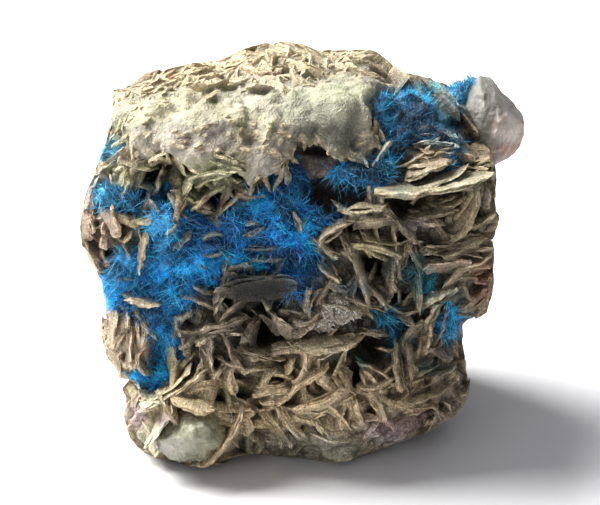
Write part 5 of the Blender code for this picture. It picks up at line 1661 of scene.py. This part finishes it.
CAP_SKIN = 0.30
cap_shells = [(cap_p, [cap_faces], None), (chip_p, [chip_quads, chip_ends], None)]
p, quads = skin_over(cap_shells, CAP_SKIN)
edges = quad_edges(quads)
p = spread(p, edges, 1, 0.3)
normal = quad_normals(p, quads)
small = ((p - spread(p, edges, 3)) * normal).sum(axis=1)
large = ((p - spread(p, edges, 16)) * normal).sum(axis=1)
tree = tree_of(np.concatenate([outer, chip_p]))
owner = np.array([tree.find(q)[1] for q in p.tolist()]) - len(outer)
chip = np.clip(owner // (6 * len(SMALL_SECTION)), 0, len(chips) - 1)
far, tone_of = cellular(p, 0.62, 665)
far2, tone2 = cellular(p, 0.36, 671)
place = sheet_of(p)
soft = 1.0 - 0.55 * blobs(place, (185, 104, 50, 16)) - 0.55 * blobs(place, (335, 104, 48, 24))
crag = 0.16 * (0.3 - abs(noise(p, 1.0, 673))) + 0.10 * (0.3 - abs(noise(p, 0.55, 674)))
height = soft * (0.16 * (0.55 - far) + 0.11 * (0.5 - far2) + crag) + 0.06 * noise(p, 0.7, 677)
height = np.where(owner >= 0, 0.3 * height - 0.08, height)
moved = kept_in(p + normal * height[:, None], 0.0)
moved[:, 2] = np.maximum(moved[:, 2], 0.05)
colour = cap_colour(p)
vary = np.random.default_rng(679).normal(0.0, 0.12, (len(chips), 1))
tan = colour * 0.45 + np.array((0.50, 0.42, 0.28)) * 0.55 * (1.0 + vary[chip])
colour = np.where((owner >= 0)[:, None], tan, colour)
colour = colour * (1.0 + 0.16 * tone_of * soft + 0.10 * tone2)[:, None]
grey = blobs(place, (178, 132, 14, 9)) + blobs(place, (217, 133, 16, 10)) + 0.6 * blobs(place, (250, 150, 26, 14))
grey = grey + 0.5 * blobs(place, (140, 140, 16, 12)) + 0.5 * blobs(place, (150, 92, 30, 9)) + 0.12
dirt = smooth((tone_of - 1.0 + 1.1 * np.clip(grey, 0, 1)) / 0.15) * front_share(p)
mauve = np.array((0.16, 0.138, 0.118)) * (1.0 + 0.5 * tone2[:, None])
colour = colour + 0.55 * dirt[:, None] * (mauve - colour)
# Convex grains lighter, and clefts and deep hollows darker: painted highlight and painted shade.
rim = np.clip(smooth((small - 0.01) / 0.12), 0, 1)[:, None]
colour = colour * (1.0 + 0.22 * rim)
cleft_shade = smooth((-small + 0.0) / 0.09) * 0.42
deep = smooth((-large - 0.02) / 0.45) * 0.5
colour = colour * ((1.0 - cleft_shade) * (1.0 - deep))[:, None] * (1.0, 0.99, 0.97)
streak = noise(p * (1.0, 1.0, 0.25), 0.35, 683) * blobs(place, (335, 112, 52, 34))
colour = colour * (1.0 + 0.16 * streak)[:, None]
colour = stained(colour, p, 641)
shown = (rock_depth(p) > -0.45)[quads].any(axis=1)
used = np.unique(quads[shown])
index = np.zeros(len(p), int)
index[used] = np.arange(len(used))
mesh_object("sugary_cap", moved[used], [index[quads[shown]]], SUGAR, ["pale_cap"], colour[used])

cap_tree = tree_of(moved)
near = np.array([cap_tree.find(q)[1] for q in chip_p.tolist()])
rim = np.tile(SMALL_SECTION[:, 2], len(chip_p) // len(SMALL_SECTION))
# Chip rims brighter: partly their own pale edges, partly painted highlight.
glow = 1.0 + 0.45 * rim * (0.5 + 0.6 * noise(chip_p, 0.6, 687))
chip_colour = colour[near] * glow[:, None] * (1.05, 1.02, 0.96)
chip_colour = chip_colour * np.minimum(1.0, 0.75 / np.maximum(chip_colour.max(axis=1), 0.01))[:, None]
flat = np.concatenate([chip_made[3].reshape(-1, 2), chip_made[4].reshape(-1, 2)])
obj = mesh_object(
    "cap_chips", chip_p, [chip_quads, chip_ends], BLADE, ["pale_cap"], chip_colour, flat, True, 38
)
layer = obj.data.attributes.new("local", "FLOAT_VECTOR", "POINT")
layer.data.foreach_set("vector", chip_made[5].astype(np.float32).reshape(-1))


def crystal_hull(corners, cuts, soften, rough_size):
    """Hull of the corners with its faces cut finer, edges softened and faces uneven."""
    bm = bmesh.new()
    for x, y, near in corners:
        bm.verts.new(sheet_point(x, y, near))
    bmesh.ops.convex_hull(bm, input=bm.verts)
    bmesh.ops.delete(bm, geom=[v for v in bm.verts if not v.link_faces], context="VERTS")
    bmesh.ops.triangulate(bm, faces=bm.faces)
    for _ in range(cuts):
        bmesh.ops.subdivide_edges(bm, edges=bm.edges[:], cuts=1, use_grid_fill=True)
    bmesh.ops.triangulate(bm, faces=bm.faces)
    for _ in range(soften):
        bmesh.ops.smooth_vert(bm, verts=bm.verts[:], factor=0.5, use_axis_x=True, use_axis_y=True, use_axis_z=True)
    bmesh.ops.recalc_face_normals(bm, faces=bm.faces[:])
    if bm.calc_volume(signed=True) < 0:
        bmesh.ops.reverse_faces(bm, faces=bm.faces[:])
    bm.normal_update()
    bm.verts.index_update()
    p = np.array([tuple(v.co) for v in bm.verts])
    n = np.array([tuple(v.normal) for v in bm.verts])
    faces = np.array([[v.index for v in f.verts] for f in bm.faces])
    bm.free()
    dent = rough_size * (noise(p, 2.6, 801) + 0.6 * noise(p, 1.2, 802) + 0.3 * noise(p, 0.6, 803))
    grains = 0.5 - cellular(p, 0.8, 805)[0]
    p = p + n * (dent - 0.1 + 0.45 * rough_size * grains)[:, None]
    p[:, 2] = np.maximum(p[:, 2], 0.06)
    return p, faces


# ---------------------------------------------------------------- blue felt
BLUES = {
    "blue_mat_main": ((0.001, 0.080, 0.38), (0.006, 0.38, 0.95)),
    "blue_mat_left": ((0.006, 0.19, 0.50), (0.08, 0.56, 0.92)),
    "blue_mat_upper_right": ((0.002, 0.070, 0.21), (0.015, 0.28, 0.55)),
    "blue_mat_notch": ((0.01, 0.26, 0.62), (0.10, 0.62, 0.88)),
    "blue_tuft_right_edge": ((0.003, 0.13, 0.36), (0.03, 0.34, 0.62)),
    "blue_tuft_lower_middle": ((0.003, 0.09, 0.17), (0.03, 0.28, 0.42)),
    "blue_tuft_right": ((0.003, 0.10, 0.13), (0.03, 0.28, 0.30)),
    "blue_tuft_left_edge": ((0.06, 0.36, 0.56), (0.30, 0.70, 0.82)),
}  # fmt: skip
# Painted shade: hollows of the felt, x, y, half width, half height, where the blue is darker; the felt also dips
# there.
SHADED_BLUE_HOLLOWS = [
    (140, 206, 12, 12), (205, 225, 26, 12), (330, 190, 34, 12), (432, 128, 22, 12),
    (420, 130, 16, 7), (405, 150, 12, 16), (300, 210, 12, 20),
    (452, 122, 12, 18), (255, 215, 18, 8),
    (150, 300, 18, 5), (290, 262, 16, 8), (402, 110, 14, 8), (452, 140, 6, 14),
]  # fmt: skip
# Painted light: spots where the blue is brighter as if lit, x, y, half width, half height.
LIT_BLUE_SPOTS = [
    (98, 190, 10, 12), (114, 200, 8, 6), (171, 194, 9, 12), (152, 218, 11, 18), (164, 246, 11, 26),
    (168, 276, 12, 22), (162, 304, 9, 20), (168, 338, 9, 20), (124, 272, 16, 24), (116, 250, 10, 18),
    (142, 374, 16, 10), (166, 366, 10, 12), (215, 268, 30, 12), (300, 190, 10, 12), (250, 205, 22, 8),
    (200, 275, 16, 9), (310, 232, 12, 12), (440, 100, 12, 8), (392, 165, 8, 10),
    (386, 116, 9, 16), (386, 150, 8, 10), (424, 92, 12, 5),
]  # fmt: skip


def blue_colour(name, p, tip):
    base, light = (np.array(c) for c in BLUES[name])
    place = sheet_of(p)
    front = front_share(p)
    n = 0.5 + 0.5 * noise(p, 1.7, 701) + 0.25 * noise(p, 0.6, 702)
    w = np.clip(0.10 + 0.60 * tip * n + 0.30 * (n - 0.5), 0.0, 1.0)
    # Painted light: the lit spots raise the blue towards its light tone and past it into a painted highlight.
    for spec in LIT_BLUE_SPOTS:
        w = np.clip(w + 0.95 * blobs(place, spec) * front, 0.0, 1.7)
    colour = base + w[:, None] * (light - base)
    glow = np.clip(w - 0.70, 0.0, 0.75)[:, None] * (0.45 + 0.55 * tip[:, None])
    pale = blobs(place, (106, 240, 18, 80))[:, None]
    tone = np.array((0.012, 0.36, 0.75) if name == "blue_mat_upper_right" else (0.012, 0.36, 1.0))
    if "tuft" in name:
        tone = light * 1.15
    colour = colour + glow * (tone + pale * (0.16, 0.28, -0.06) - colour)
    # Painted shade in the felt's hollows.
    for spec in SHADED_BLUE_HOLLOWS:
        colour = colour * (1.0 - 0.50 * blobs(place, spec) * front)[:, None]
    # Painted light down the bright column on the left.
    if name == "blue_mat_main":
        lit_spine = (blobs(place, (162, 234, 13, 28)) * front)[:, None] * (0.35 + 0.65 * tip[:, None])
        colour = colour + 0.6 * lit_spine * (np.array((0.10, 0.50, 0.92)) - colour)
    if name == "blue_mat_upper_right":
        colour = colour * 0.86
    # Painted shade in the hollows of the front.
    hole = hollow_at(place) * front
    return colour * (1.0 - 0.45 * hole)[:, None]


def patches(p):
    """-1 to 1 and beyond: bright and dark patches of the felt."""
    return 1.2 * noise(p, 2.3, 741) + 1.5 * noise(p, 1.0, 743) + 1.2 * noise(p, 0.5, 745)


def lit_at(p):
    """How bright the roots of the fibres are: random patches plus painted light in the lit spots."""
    place = sheet_of(p)
    light = np.maximum.reduce([blobs(place, spec) for spec in LIT_BLUE_SPOTS]) * front_share(p)
    return np.clip(0.12 + 0.72 * patches(p) + 0.70 * light, 0.0, 1.0)


def needles(name, base, direction, length, width, colour_low, colour_high):
    """Three-sided spikes, rooted in the felt."""
    count = len(base)
    rng = np.random.default_rng(count)
    direction = direction / np.linalg.norm(direction, axis=1)[:, None]
    a = np.cross(direction, rng.normal(size=(count, 3)))
    a /= np.linalg.norm(a, axis=1)[:, None]
    b = np.cross(direction, a)
    rim = [base + (a * math.cos(t) + b * math.sin(t)) * width[:, None] for t in (0.0, 2.0944, 4.1888)]
    points = np.stack(rim + [base + direction * length[:, None]], 1).reshape(-1, 3)
    points[:, 2] = np.maximum(points[:, 2], 0.03)
    one = np.array([(0, 1, 3), (1, 2, 3), (2, 0, 3)])
    faces = (np.arange(count)[:, None, None] * 4 + one[None]).reshape(-1, 3)
    colour = np.stack([colour_low] * 3 + [colour_high], 1).reshape(-1, 3)
    cols = math.ceil(math.sqrt(count))
    cell = np.stack([np.arange(count) % cols, np.arange(count) // cols], -1)[:, None, None]
    shape = np.array([(0.1, 0.1), (0.5, 0.1), (0.9, 0.1), (0.5, 0.9)])
    flat = (np.broadcast_to(shape[one][None], (count, 3, 3, 2)) + cell) / cols
    return points, faces, colour, flat.reshape(-1, 2)


def sampled(points, faces, normal_of, count, rng, weight=None):
    """Random places on quads, with their normals."""
    a, b, c, d = (points[faces[:, k]] for k in range(4))
    area = np.linalg.norm(np.cross(c - a, d - b), axis=1)
    if weight is not None:
        area = area * weight[faces].mean(axis=1)
    pick = rng.choice(len(faces), count, p=area / area.sum())
    s, t = rng.uniform(0, 1, (2, count, 1))
    f = faces[pick]
    place = (points[f[:, 0]] * (1 - s) + points[f[:, 1]] * s) * (1 - t) + (
        points[f[:, 3]] * (1 - s) + points[f[:, 2]] * s
    ) * t
    normal = normal_of[f].mean(axis=1)
    return place, normal / np.linalg.norm(normal, axis=1)[:, None]


NEEDLES = 63000
felt = []
total_area = 0.0
for k, (name, ring) in enumerate(BLUE.items()):
    thick = MAT_THICK + (0.8 if name == "blue_mat_notch" else 0.0)

    def mat_height(p, place, w, thick=thick, k=k):
        lumps = 0.85 * noise(p, 3.4, 671 + k) + 0.85 * noise(p, 1.5, 681 + k) + 0.34 * noise(p, 0.8, 691)
        hole = hollow_at(place) + 0.5 * np.maximum.reduce([blobs(place, spec) for spec in SHADED_BLUE_HOLLOWS])
        right = 0.7 * blobs(place, (446, 128, 24, 24))
        right = right * (1.0 + 0.7 * noise(p, 1.9, 699))
        return thick - 0.25 + lumps - 0.9 * np.clip(hole, 0.0, 1.0) - 0.75 * right

    p, faces, w, n, flat, normal = growth(ring, REACH_BACK[name], 7.0, mat_height, 705 + 2 * k)
    # The felt under the fibres is kept dark as painted shade between them, and lighter where the painted light of
    # lit_at falls.
    lit = lit_at(p)
    colour = (0.18 + 0.55 * lit)[:, None] * blue_colour(name, p, 0.7 * lit)
    shown = (faces < n).any(axis=1)
    used, again = np.unique(faces[shown], return_inverse=True)
    again = again.reshape(-1, 4)
    mesh_object(f"{name}_felt", p[used], [again], FIBRE, [name], colour[used], flat[shown])
    top = faces[(faces < n).all(axis=1)]
    a, b, c, d = (p[top[:, j]] for j in range(4))
    area = np.linalg.norm(np.cross(c - a, d - b), axis=1) / 2 * (w[top].mean(axis=1) > 0.15)
    total_area += area.sum()
    felt.append((name, p, top, w, normal, area.sum()))

# the notch is filled with a mound of its own
NOTCH_MOUND = [
    (443, 98, 1.0), (449, 88, 1.5), (460, 84, 2.0), (474, 79, 1.0), (478, 92, 1.5),
    (474, 108, 2.5), (458, 114, 3.5), (446, 108, 3.0), (460, 98, 3.6), (446, 96, -5.0),
    (460, 86, -6.0), (474, 80, -5.0), (476, 106, -6.0), (452, 112, -6.0),
]  # fmt: skip
p, faces = crystal_hull(NOTCH_MOUND, 3, 2, 0.45)
mound_normal = np.zeros_like(p)
flat_normal = np.cross(p[faces[:, 1]] - p[faces[:, 0]], p[faces[:, 2]] - p[faces[:, 0]])
for axis in range(3):
    mound_normal[:, axis] = np.bincount(faces.reshape(-1), np.repeat(flat_normal[:, axis], 3), len(p))
mound_normal /= np.maximum(np.linalg.norm(mound_normal, axis=1), 1e-9)[:, None]
# The mound under the fibres is kept dark as painted shade between them.
mesh_object("blue_notch_mound", p, [faces], FIBRE, ["blue_mat_notch"],
            0.45 * blue_colour("blue_mat_notch", p, np.zeros(len(p))))  # fmt: skip
quads = faces[:, [0, 1, 2, 2]]
seen = (mound_normal @ (0.5 * TOWARD + 0.8 * UP) > -0.2).astype(float)
mound = ("blue_mat_notch", p, quads, seen[: len(p)], mound_normal, 55.0)

rng = np.random.default_rng(123)
batches = []
felt = [item for item in felt if item[0] != "blue_mat_notch"] + [
    item for item in felt if item[0] == "blue_mat_notch"
] + [mound]
for name, p, top, w, normal, area in felt:
    count = int(NEEDLES * area / total_area)
    if count < 20:
        continue
    weight = np.concatenate([(w > 0.15) * (0.4 + 0.6 * w), np.zeros(len(p) - len(w))])
    hub_count = max(4, int(area * 1.3))
    both = np.concatenate([normal, normal])
    hubs, hub_normal = sampled(p, top, both, hub_count, rng, weight)
    sprays = int(count * 0.55)
    pick = rng.integers(0, hub_count, sprays)
    aim = rng.normal(size=(sprays, 3))
    aim /= np.linalg.norm(aim, axis=1)[:, None]
    lifted = hub_normal[pick] * 0.75 + aim
    flip = (lifted * hub_normal[pick]).sum(axis=1) < 0.05
    lifted[flip] += hub_normal[pick][flip] * 1.1
    base_a = hubs[pick] + 0.22 * rng.normal(size=(sprays, 3)) - hub_normal[pick] * 0.12
    base_b, normal_b = sampled(p, top, both, count - sprays, rng, weight)
    aim_b = normal_b * 0.7 + 0.62 * rng.normal(size=(count - sprays, 3))
    low = (aim_b * normal_b).sum(axis=1) < 0.1
    aim_b[low] += normal_b[low]
    base = np.concatenate([base_a, base_b - normal_b * 0.1])
    aim = np.concatenate([lifted, aim_b])
    length = np.clip(rng.gamma(4.0, 0.188, count), 0.32, 2.1)
    width = rng.uniform(0.021, 0.043, count)
    long = rng.uniform(0, 1, count) < 0.12
    length = np.where(long, rng.uniform(1.6, 3.4, count), length)
    matted = blobs(sheet_of(base), (426, 118, 44, 36))
    length = length * (1.0 - 0.60 * matted)
    aim = aim + (0.9 * matted)[:, None] * rng.normal(size=(count, 3))
    width = np.where(long, rng.uniform(0.04, 0.055, count), width)
    shade = np.exp(rng.normal(-0.22, 0.62, (count, 1)))
    clump = np.exp(rng.normal(-0.20, 0.65, hub_count))
    shade[:sprays, 0] *= clump[pick]
    shade = np.clip(shade * np.exp(1.3 * patches(base) - 0.27)[:, None], 0.035, 3.2)
    # Roots darker than tips: painted shade down in the felt, with painted light from lit_at.
    lit = lit_at(base)
    low_colour = (0.26 + 0.74 * lit)[:, None] * blue_colour(name, base, lit) * shade
    low_colour = np.clip(low_colour, 0.0, (0.25, 0.75, 1.0))
    tips = base + aim / np.linalg.norm(aim, axis=1)[:, None] * length[:, None]
    if name != "blue_mat_notch":
        tips = kept_in(tips, 4.0)
    aim = tips - base
    length = np.linalg.norm(aim, axis=1)
    high_colour = np.clip(1.75 * blue_colour(name, tips, np.ones(count)) * shade, 0.0, (0.25, 0.75, 1.0))
    bright = long[:, None] & (rng.uniform(0, 1, (count, 1)) < 0.75)
    high_colour = np.where(bright, high_colour * 0.5 + np.array((0.14, 0.56, 0.98)) * 0.5, high_colour)
    # Painted glints: a few pale tips in the lit parts.
    painted_glint = (rng.uniform(0, 1, (count, 1)) < 0.11) & (lit[:, None] > 0.35) & (name != "blue_mat_notch")
    high_colour = np.where(painted_glint, high_colour * 0.35 + np.array((0.22, 0.52, 0.80)) * 0.65, high_colour)
    batches.append(((name,), needles(name, base, aim, length, width, low_colour, high_colour)))


def join_batches(name, parts, nodes, mat):
    points, faces, colours, flats, first = [], [], [], [], 0
    for p, f, c, uv in parts:
        points.append(p)
        faces.append(f + first)
        colours.append(c)
        flats.append(uv)
        first += len(p)
    return mesh_object(
        name, np.concatenate(points), [np.concatenate(faces)], mat, nodes,
        np.concatenate(colours), np.concatenate(flats), False,
    )  # fmt: skip


main = [(n, b) for n, b in batches if n[0] == "blue_mat_main"]
rest = [(n, b) for n, b in batches if n[0] != "blue_mat_main"]
join_batches("main_fibres", [b for _, b in main], ["blue_mat_main"], FIBRE)
join_batches("other_fibres", [b for _, b in rest], [n[0] for n, _ in rest], FIBRE)


# ---------------------------------------------------------------- crystals
CORNER_TINTS = [
    (470, 92, 6, 12, (0.40, 0.62, 0.56), 0.8), (468, 116, 8, 12, (0.16, 0.24, 0.17), 0.85),
    (478, 92, 14, 12, (0.55, 0.52, 0.48), 0.9), (478, 88, 4, 5, (0.70, 0.76, 0.66), 0.7),
    (494, 108, 14, 12, (0.46, 0.42, 0.39), 0.9), (479, 110, 10, 24, (0.40, 0.365, 0.32), 0.9),
    (508, 130, 13, 12, (1.55, 1.34, 1.18), 0.9),
    (510, 151, 14, 7, (0.74, 0.30, 0.17), 0.95), (524, 140, 4, 12, (0.66, 0.38, 0.28), 0.9),
    (500, 122, 8, 5, (0.66, 0.52, 0.42), 0.7), (484, 130, 8, 10, (0.40, 0.37, 0.30), 0.8),
    (466, 138, 8, 10, (0.26, 0.23, 0.14), 0.8), (490, 156, 12, 6, (0.55, 0.42, 0.33), 0.7),
]  # fmt: skip
GREEN_TINTS = [
    (190, 430, 24, 18, (0.60, 0.61, 0.42), 0.8), (172, 446, 12, 10, (0.72, 0.68, 0.54), 0.8),
    (212, 446, 12, 10, (0.50, 0.51, 0.33), 0.8), (190, 412, 20, 8, (0.44, 0.40, 0.27), 0.8),
]  # fmt: skip


def spotted(p, base, tints, seed):
    colour = np.array(base) * (1.0 + 0.08 * noise(p, 2.0, seed)[:, None])
    place = sheet_of(p)
    for spec in tints:
        w = (blobs(place, spec) * spec[5])[:, None]
        colour = colour + w * (np.array(spec[4]) - colour)
    return colour


p, faces = crystal_hull(CORNER_CRYSTAL, 4, 3, 0.24)
mesh_object("corner_crystal_body", p, [faces], MILKY, ["corner_crystal"],
            0.46 * spotted(p, (0.56, 0.50, 0.46), CORNER_TINTS, 811))  # fmt: skip
p, faces = crystal_hull(GREEN_CRYSTAL, 4, 3, 0.34)
mesh_object("green_crystal_body", p, [faces], GREEN, ["green_crystal"],
            0.78 * spotted(p, (0.60, 0.60, 0.42), GREEN_TINTS, 821))  # fmt: skip


def druse_height(p, place, w):
    return 0.75 + 0.3 * noise(p, 1.4, 831) + 0.2 * noise(p, 0.6, 832)


p, faces, w, n, flat, normal = growth(DRUSE_OUTLINE, 0.0, 6.0, druse_height, 835)
colour = np.array((0.36, 0.29, 0.20)) * (1.0 + 0.55 * noise(p, 0.8, 836)[:, None])
mesh_object("druse_crust", p, [faces], SUGAR, ["druse"], colour, flat)


def small_crystals(base, direction, width, length, seed):
    """Six-sided prisms with pointed ends."""
    count = len(base)
    rng = np.random.default_rng(seed)
    direction = direction / np.linalg.norm(direction, axis=1)[:, None]
    a = np.cross(direction, rng.normal(size=(count, 3)))
    a /= np.linalg.norm(a, axis=1)[:, None]
    b = np.cross(direction, a)
    turn = np.arange(6) * math.pi / 3
    ring = a[:, None] * np.cos(turn)[None, :, None] + b[:, None] * np.sin(turn)[None, :, None]
    low = base[:, None] + ring * width[:, None, None]
    high = low + (direction * (length * 0.6)[:, None])[:, None]
    tip = (base + direction * length[:, None])[:, None]
    root = (base - direction * (0.2 * length)[:, None])[:, None]
    points = np.concatenate([root, low, high, tip], 1).reshape(-1, 3)
    faces = []
    for k in range(6):
        j = (k + 1) % 6
        faces += [(0, 1 + j, 1 + k), (1 + k, 1 + j, 7 + j), (1 + k, 7 + j, 7 + k), (7 + k, 7 + j, 13)]
    faces = (np.arange(count)[:, None, None] * 14 + np.array(faces)[None]).reshape(-1, 3)
    return points, faces


rng = np.random.default_rng(841)
top = faces[(faces < n).all(axis=1)]
weight = np.concatenate([w, np.zeros(len(p) - len(w))])
base, nrm = sampled(p, top, np.concatenate([normal, normal]), 420, rng, weight)
aim = nrm + 0.6 * rng.normal(size=(420, 3))
p3, f3 = small_crystals(base, aim, rng.uniform(0.07, 0.20, 420), rng.uniform(0.25, 0.8, 420), 843)
mesh_object("druse_points", p3, [f3], CLEAR, ["druse"],
            np.full((len(p3), 3), 0.95) * (1.0, 0.95, 0.84), None, False)  # fmt: skip

# ---------------------------------------------------------------- room, light and camera
def floor_mesh():
    """A pale floor that curves up into a backdrop far behind."""
    rows = [(-1.6, 0.0), (0.5, 0.0)]
    for k in range(1, 13):
        t = k / 12 * math.pi / 2
        rows.append((0.5 + 0.5 * math.sin(t), 0.5 - 0.5 * math.cos(t)))
    rows.append((1.0, 2.2))
    points, faces = [], []
    for y, z in rows:
        points += [(-2.5, y, z), (2.5, y, z)]
    for k in range(len(rows) - 1):
        faces.append((2 * k, 2 * k + 1, 2 * k + 3, 2 * k + 2))
    mesh = bpy.data.meshes.new("studio_floor")
    mesh.from_pydata(points, [], faces)
    mesh.update()
    for face in mesh.polygons:
        face.use_smooth = True
    mat, tree, shader = new_material("studio_paper")
    place = add(tree, "ShaderNodeTexCoord").outputs["Object"]
    tone = ranged(tree, add(tree, "ShaderNodeTexNoise", {"Vector": place, "Scale": 3.0}).outputs["Fac"], 0.3, 0.7, 0.0, 1.0)
    mix = add(tree, "ShaderNodeMix", {"Factor": tone, "A": (0.69, 0.69, 0.715, 1), "B": (0.715, 0.715, 0.74, 1)}, data_type="RGBA")
    tree.links.new(mix.outputs["Result"], shader.inputs["Base Color"])
    shader.inputs["Roughness"].default_value = 0.8
    mesh.materials.append(mat)
    obj = bpy.data.objects.new("studio_floor", mesh)
    bpy.context.scene.collection.objects.link(obj)
    obj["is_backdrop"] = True


def area_light(name, place, aim, size, power, colour=(1.0, 1.0, 1.0)):
    data = bpy.data.lights.new(name, "AREA")
    data.shape = "DISK"
    data.size = size
    data.energy = power
    data.color = colour
    obj = bpy.data.objects.new(name, data)
    obj.location = place
    obj.rotation_euler = (Vector(aim) - Vector(place)).to_track_quat("-Z", "Y").to_euler()
    bpy.context.scene.collection.objects.link(obj)


floor_mesh()
area_light("window_key", (-0.37, 0.14, 0.50), (0, 0, 0.02), 0.58, 17.5, (1.0, 0.99, 0.96))
area_light("front_fill", (-0.30, -0.70, 0.30), (0, 0, 0.02), 0.5, 0.8, (0.96, 0.98, 1.0))
world = bpy.data.worlds.new("studio_world")
bpy.context.scene.world = world
world.use_nodes = True
world.node_tree.nodes["Background"].inputs["Color"].default_value = (0.95, 0.96, 1.0, 1.0)
world.node_tree.nodes["Background"].inputs["Strength"].default_value = 0.38

target = (CENTRE + ORIGIN_SHIFT) * MM
data = bpy.data.cameras.new("photo_camera")
data.sensor_width = 36.0
data.lens = 36.0 * VIEW_REACH / (600.0 * DRAW_UNIT)
data.clip_start = 0.01
camera = bpy.data.objects.new("photo_camera", data)
camera.location = Vector(target + TOWARD * VIEW_REACH * MM)
camera.rotation_euler = Vector(-TOWARD).to_track_quat("-Z", "Y").to_euler()
bpy.context.scene.collection.objects.link(camera)
bpy.context.scene.camera = camera
bpy.context.scene.view_settings.view_transform = "Standard"

low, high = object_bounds()
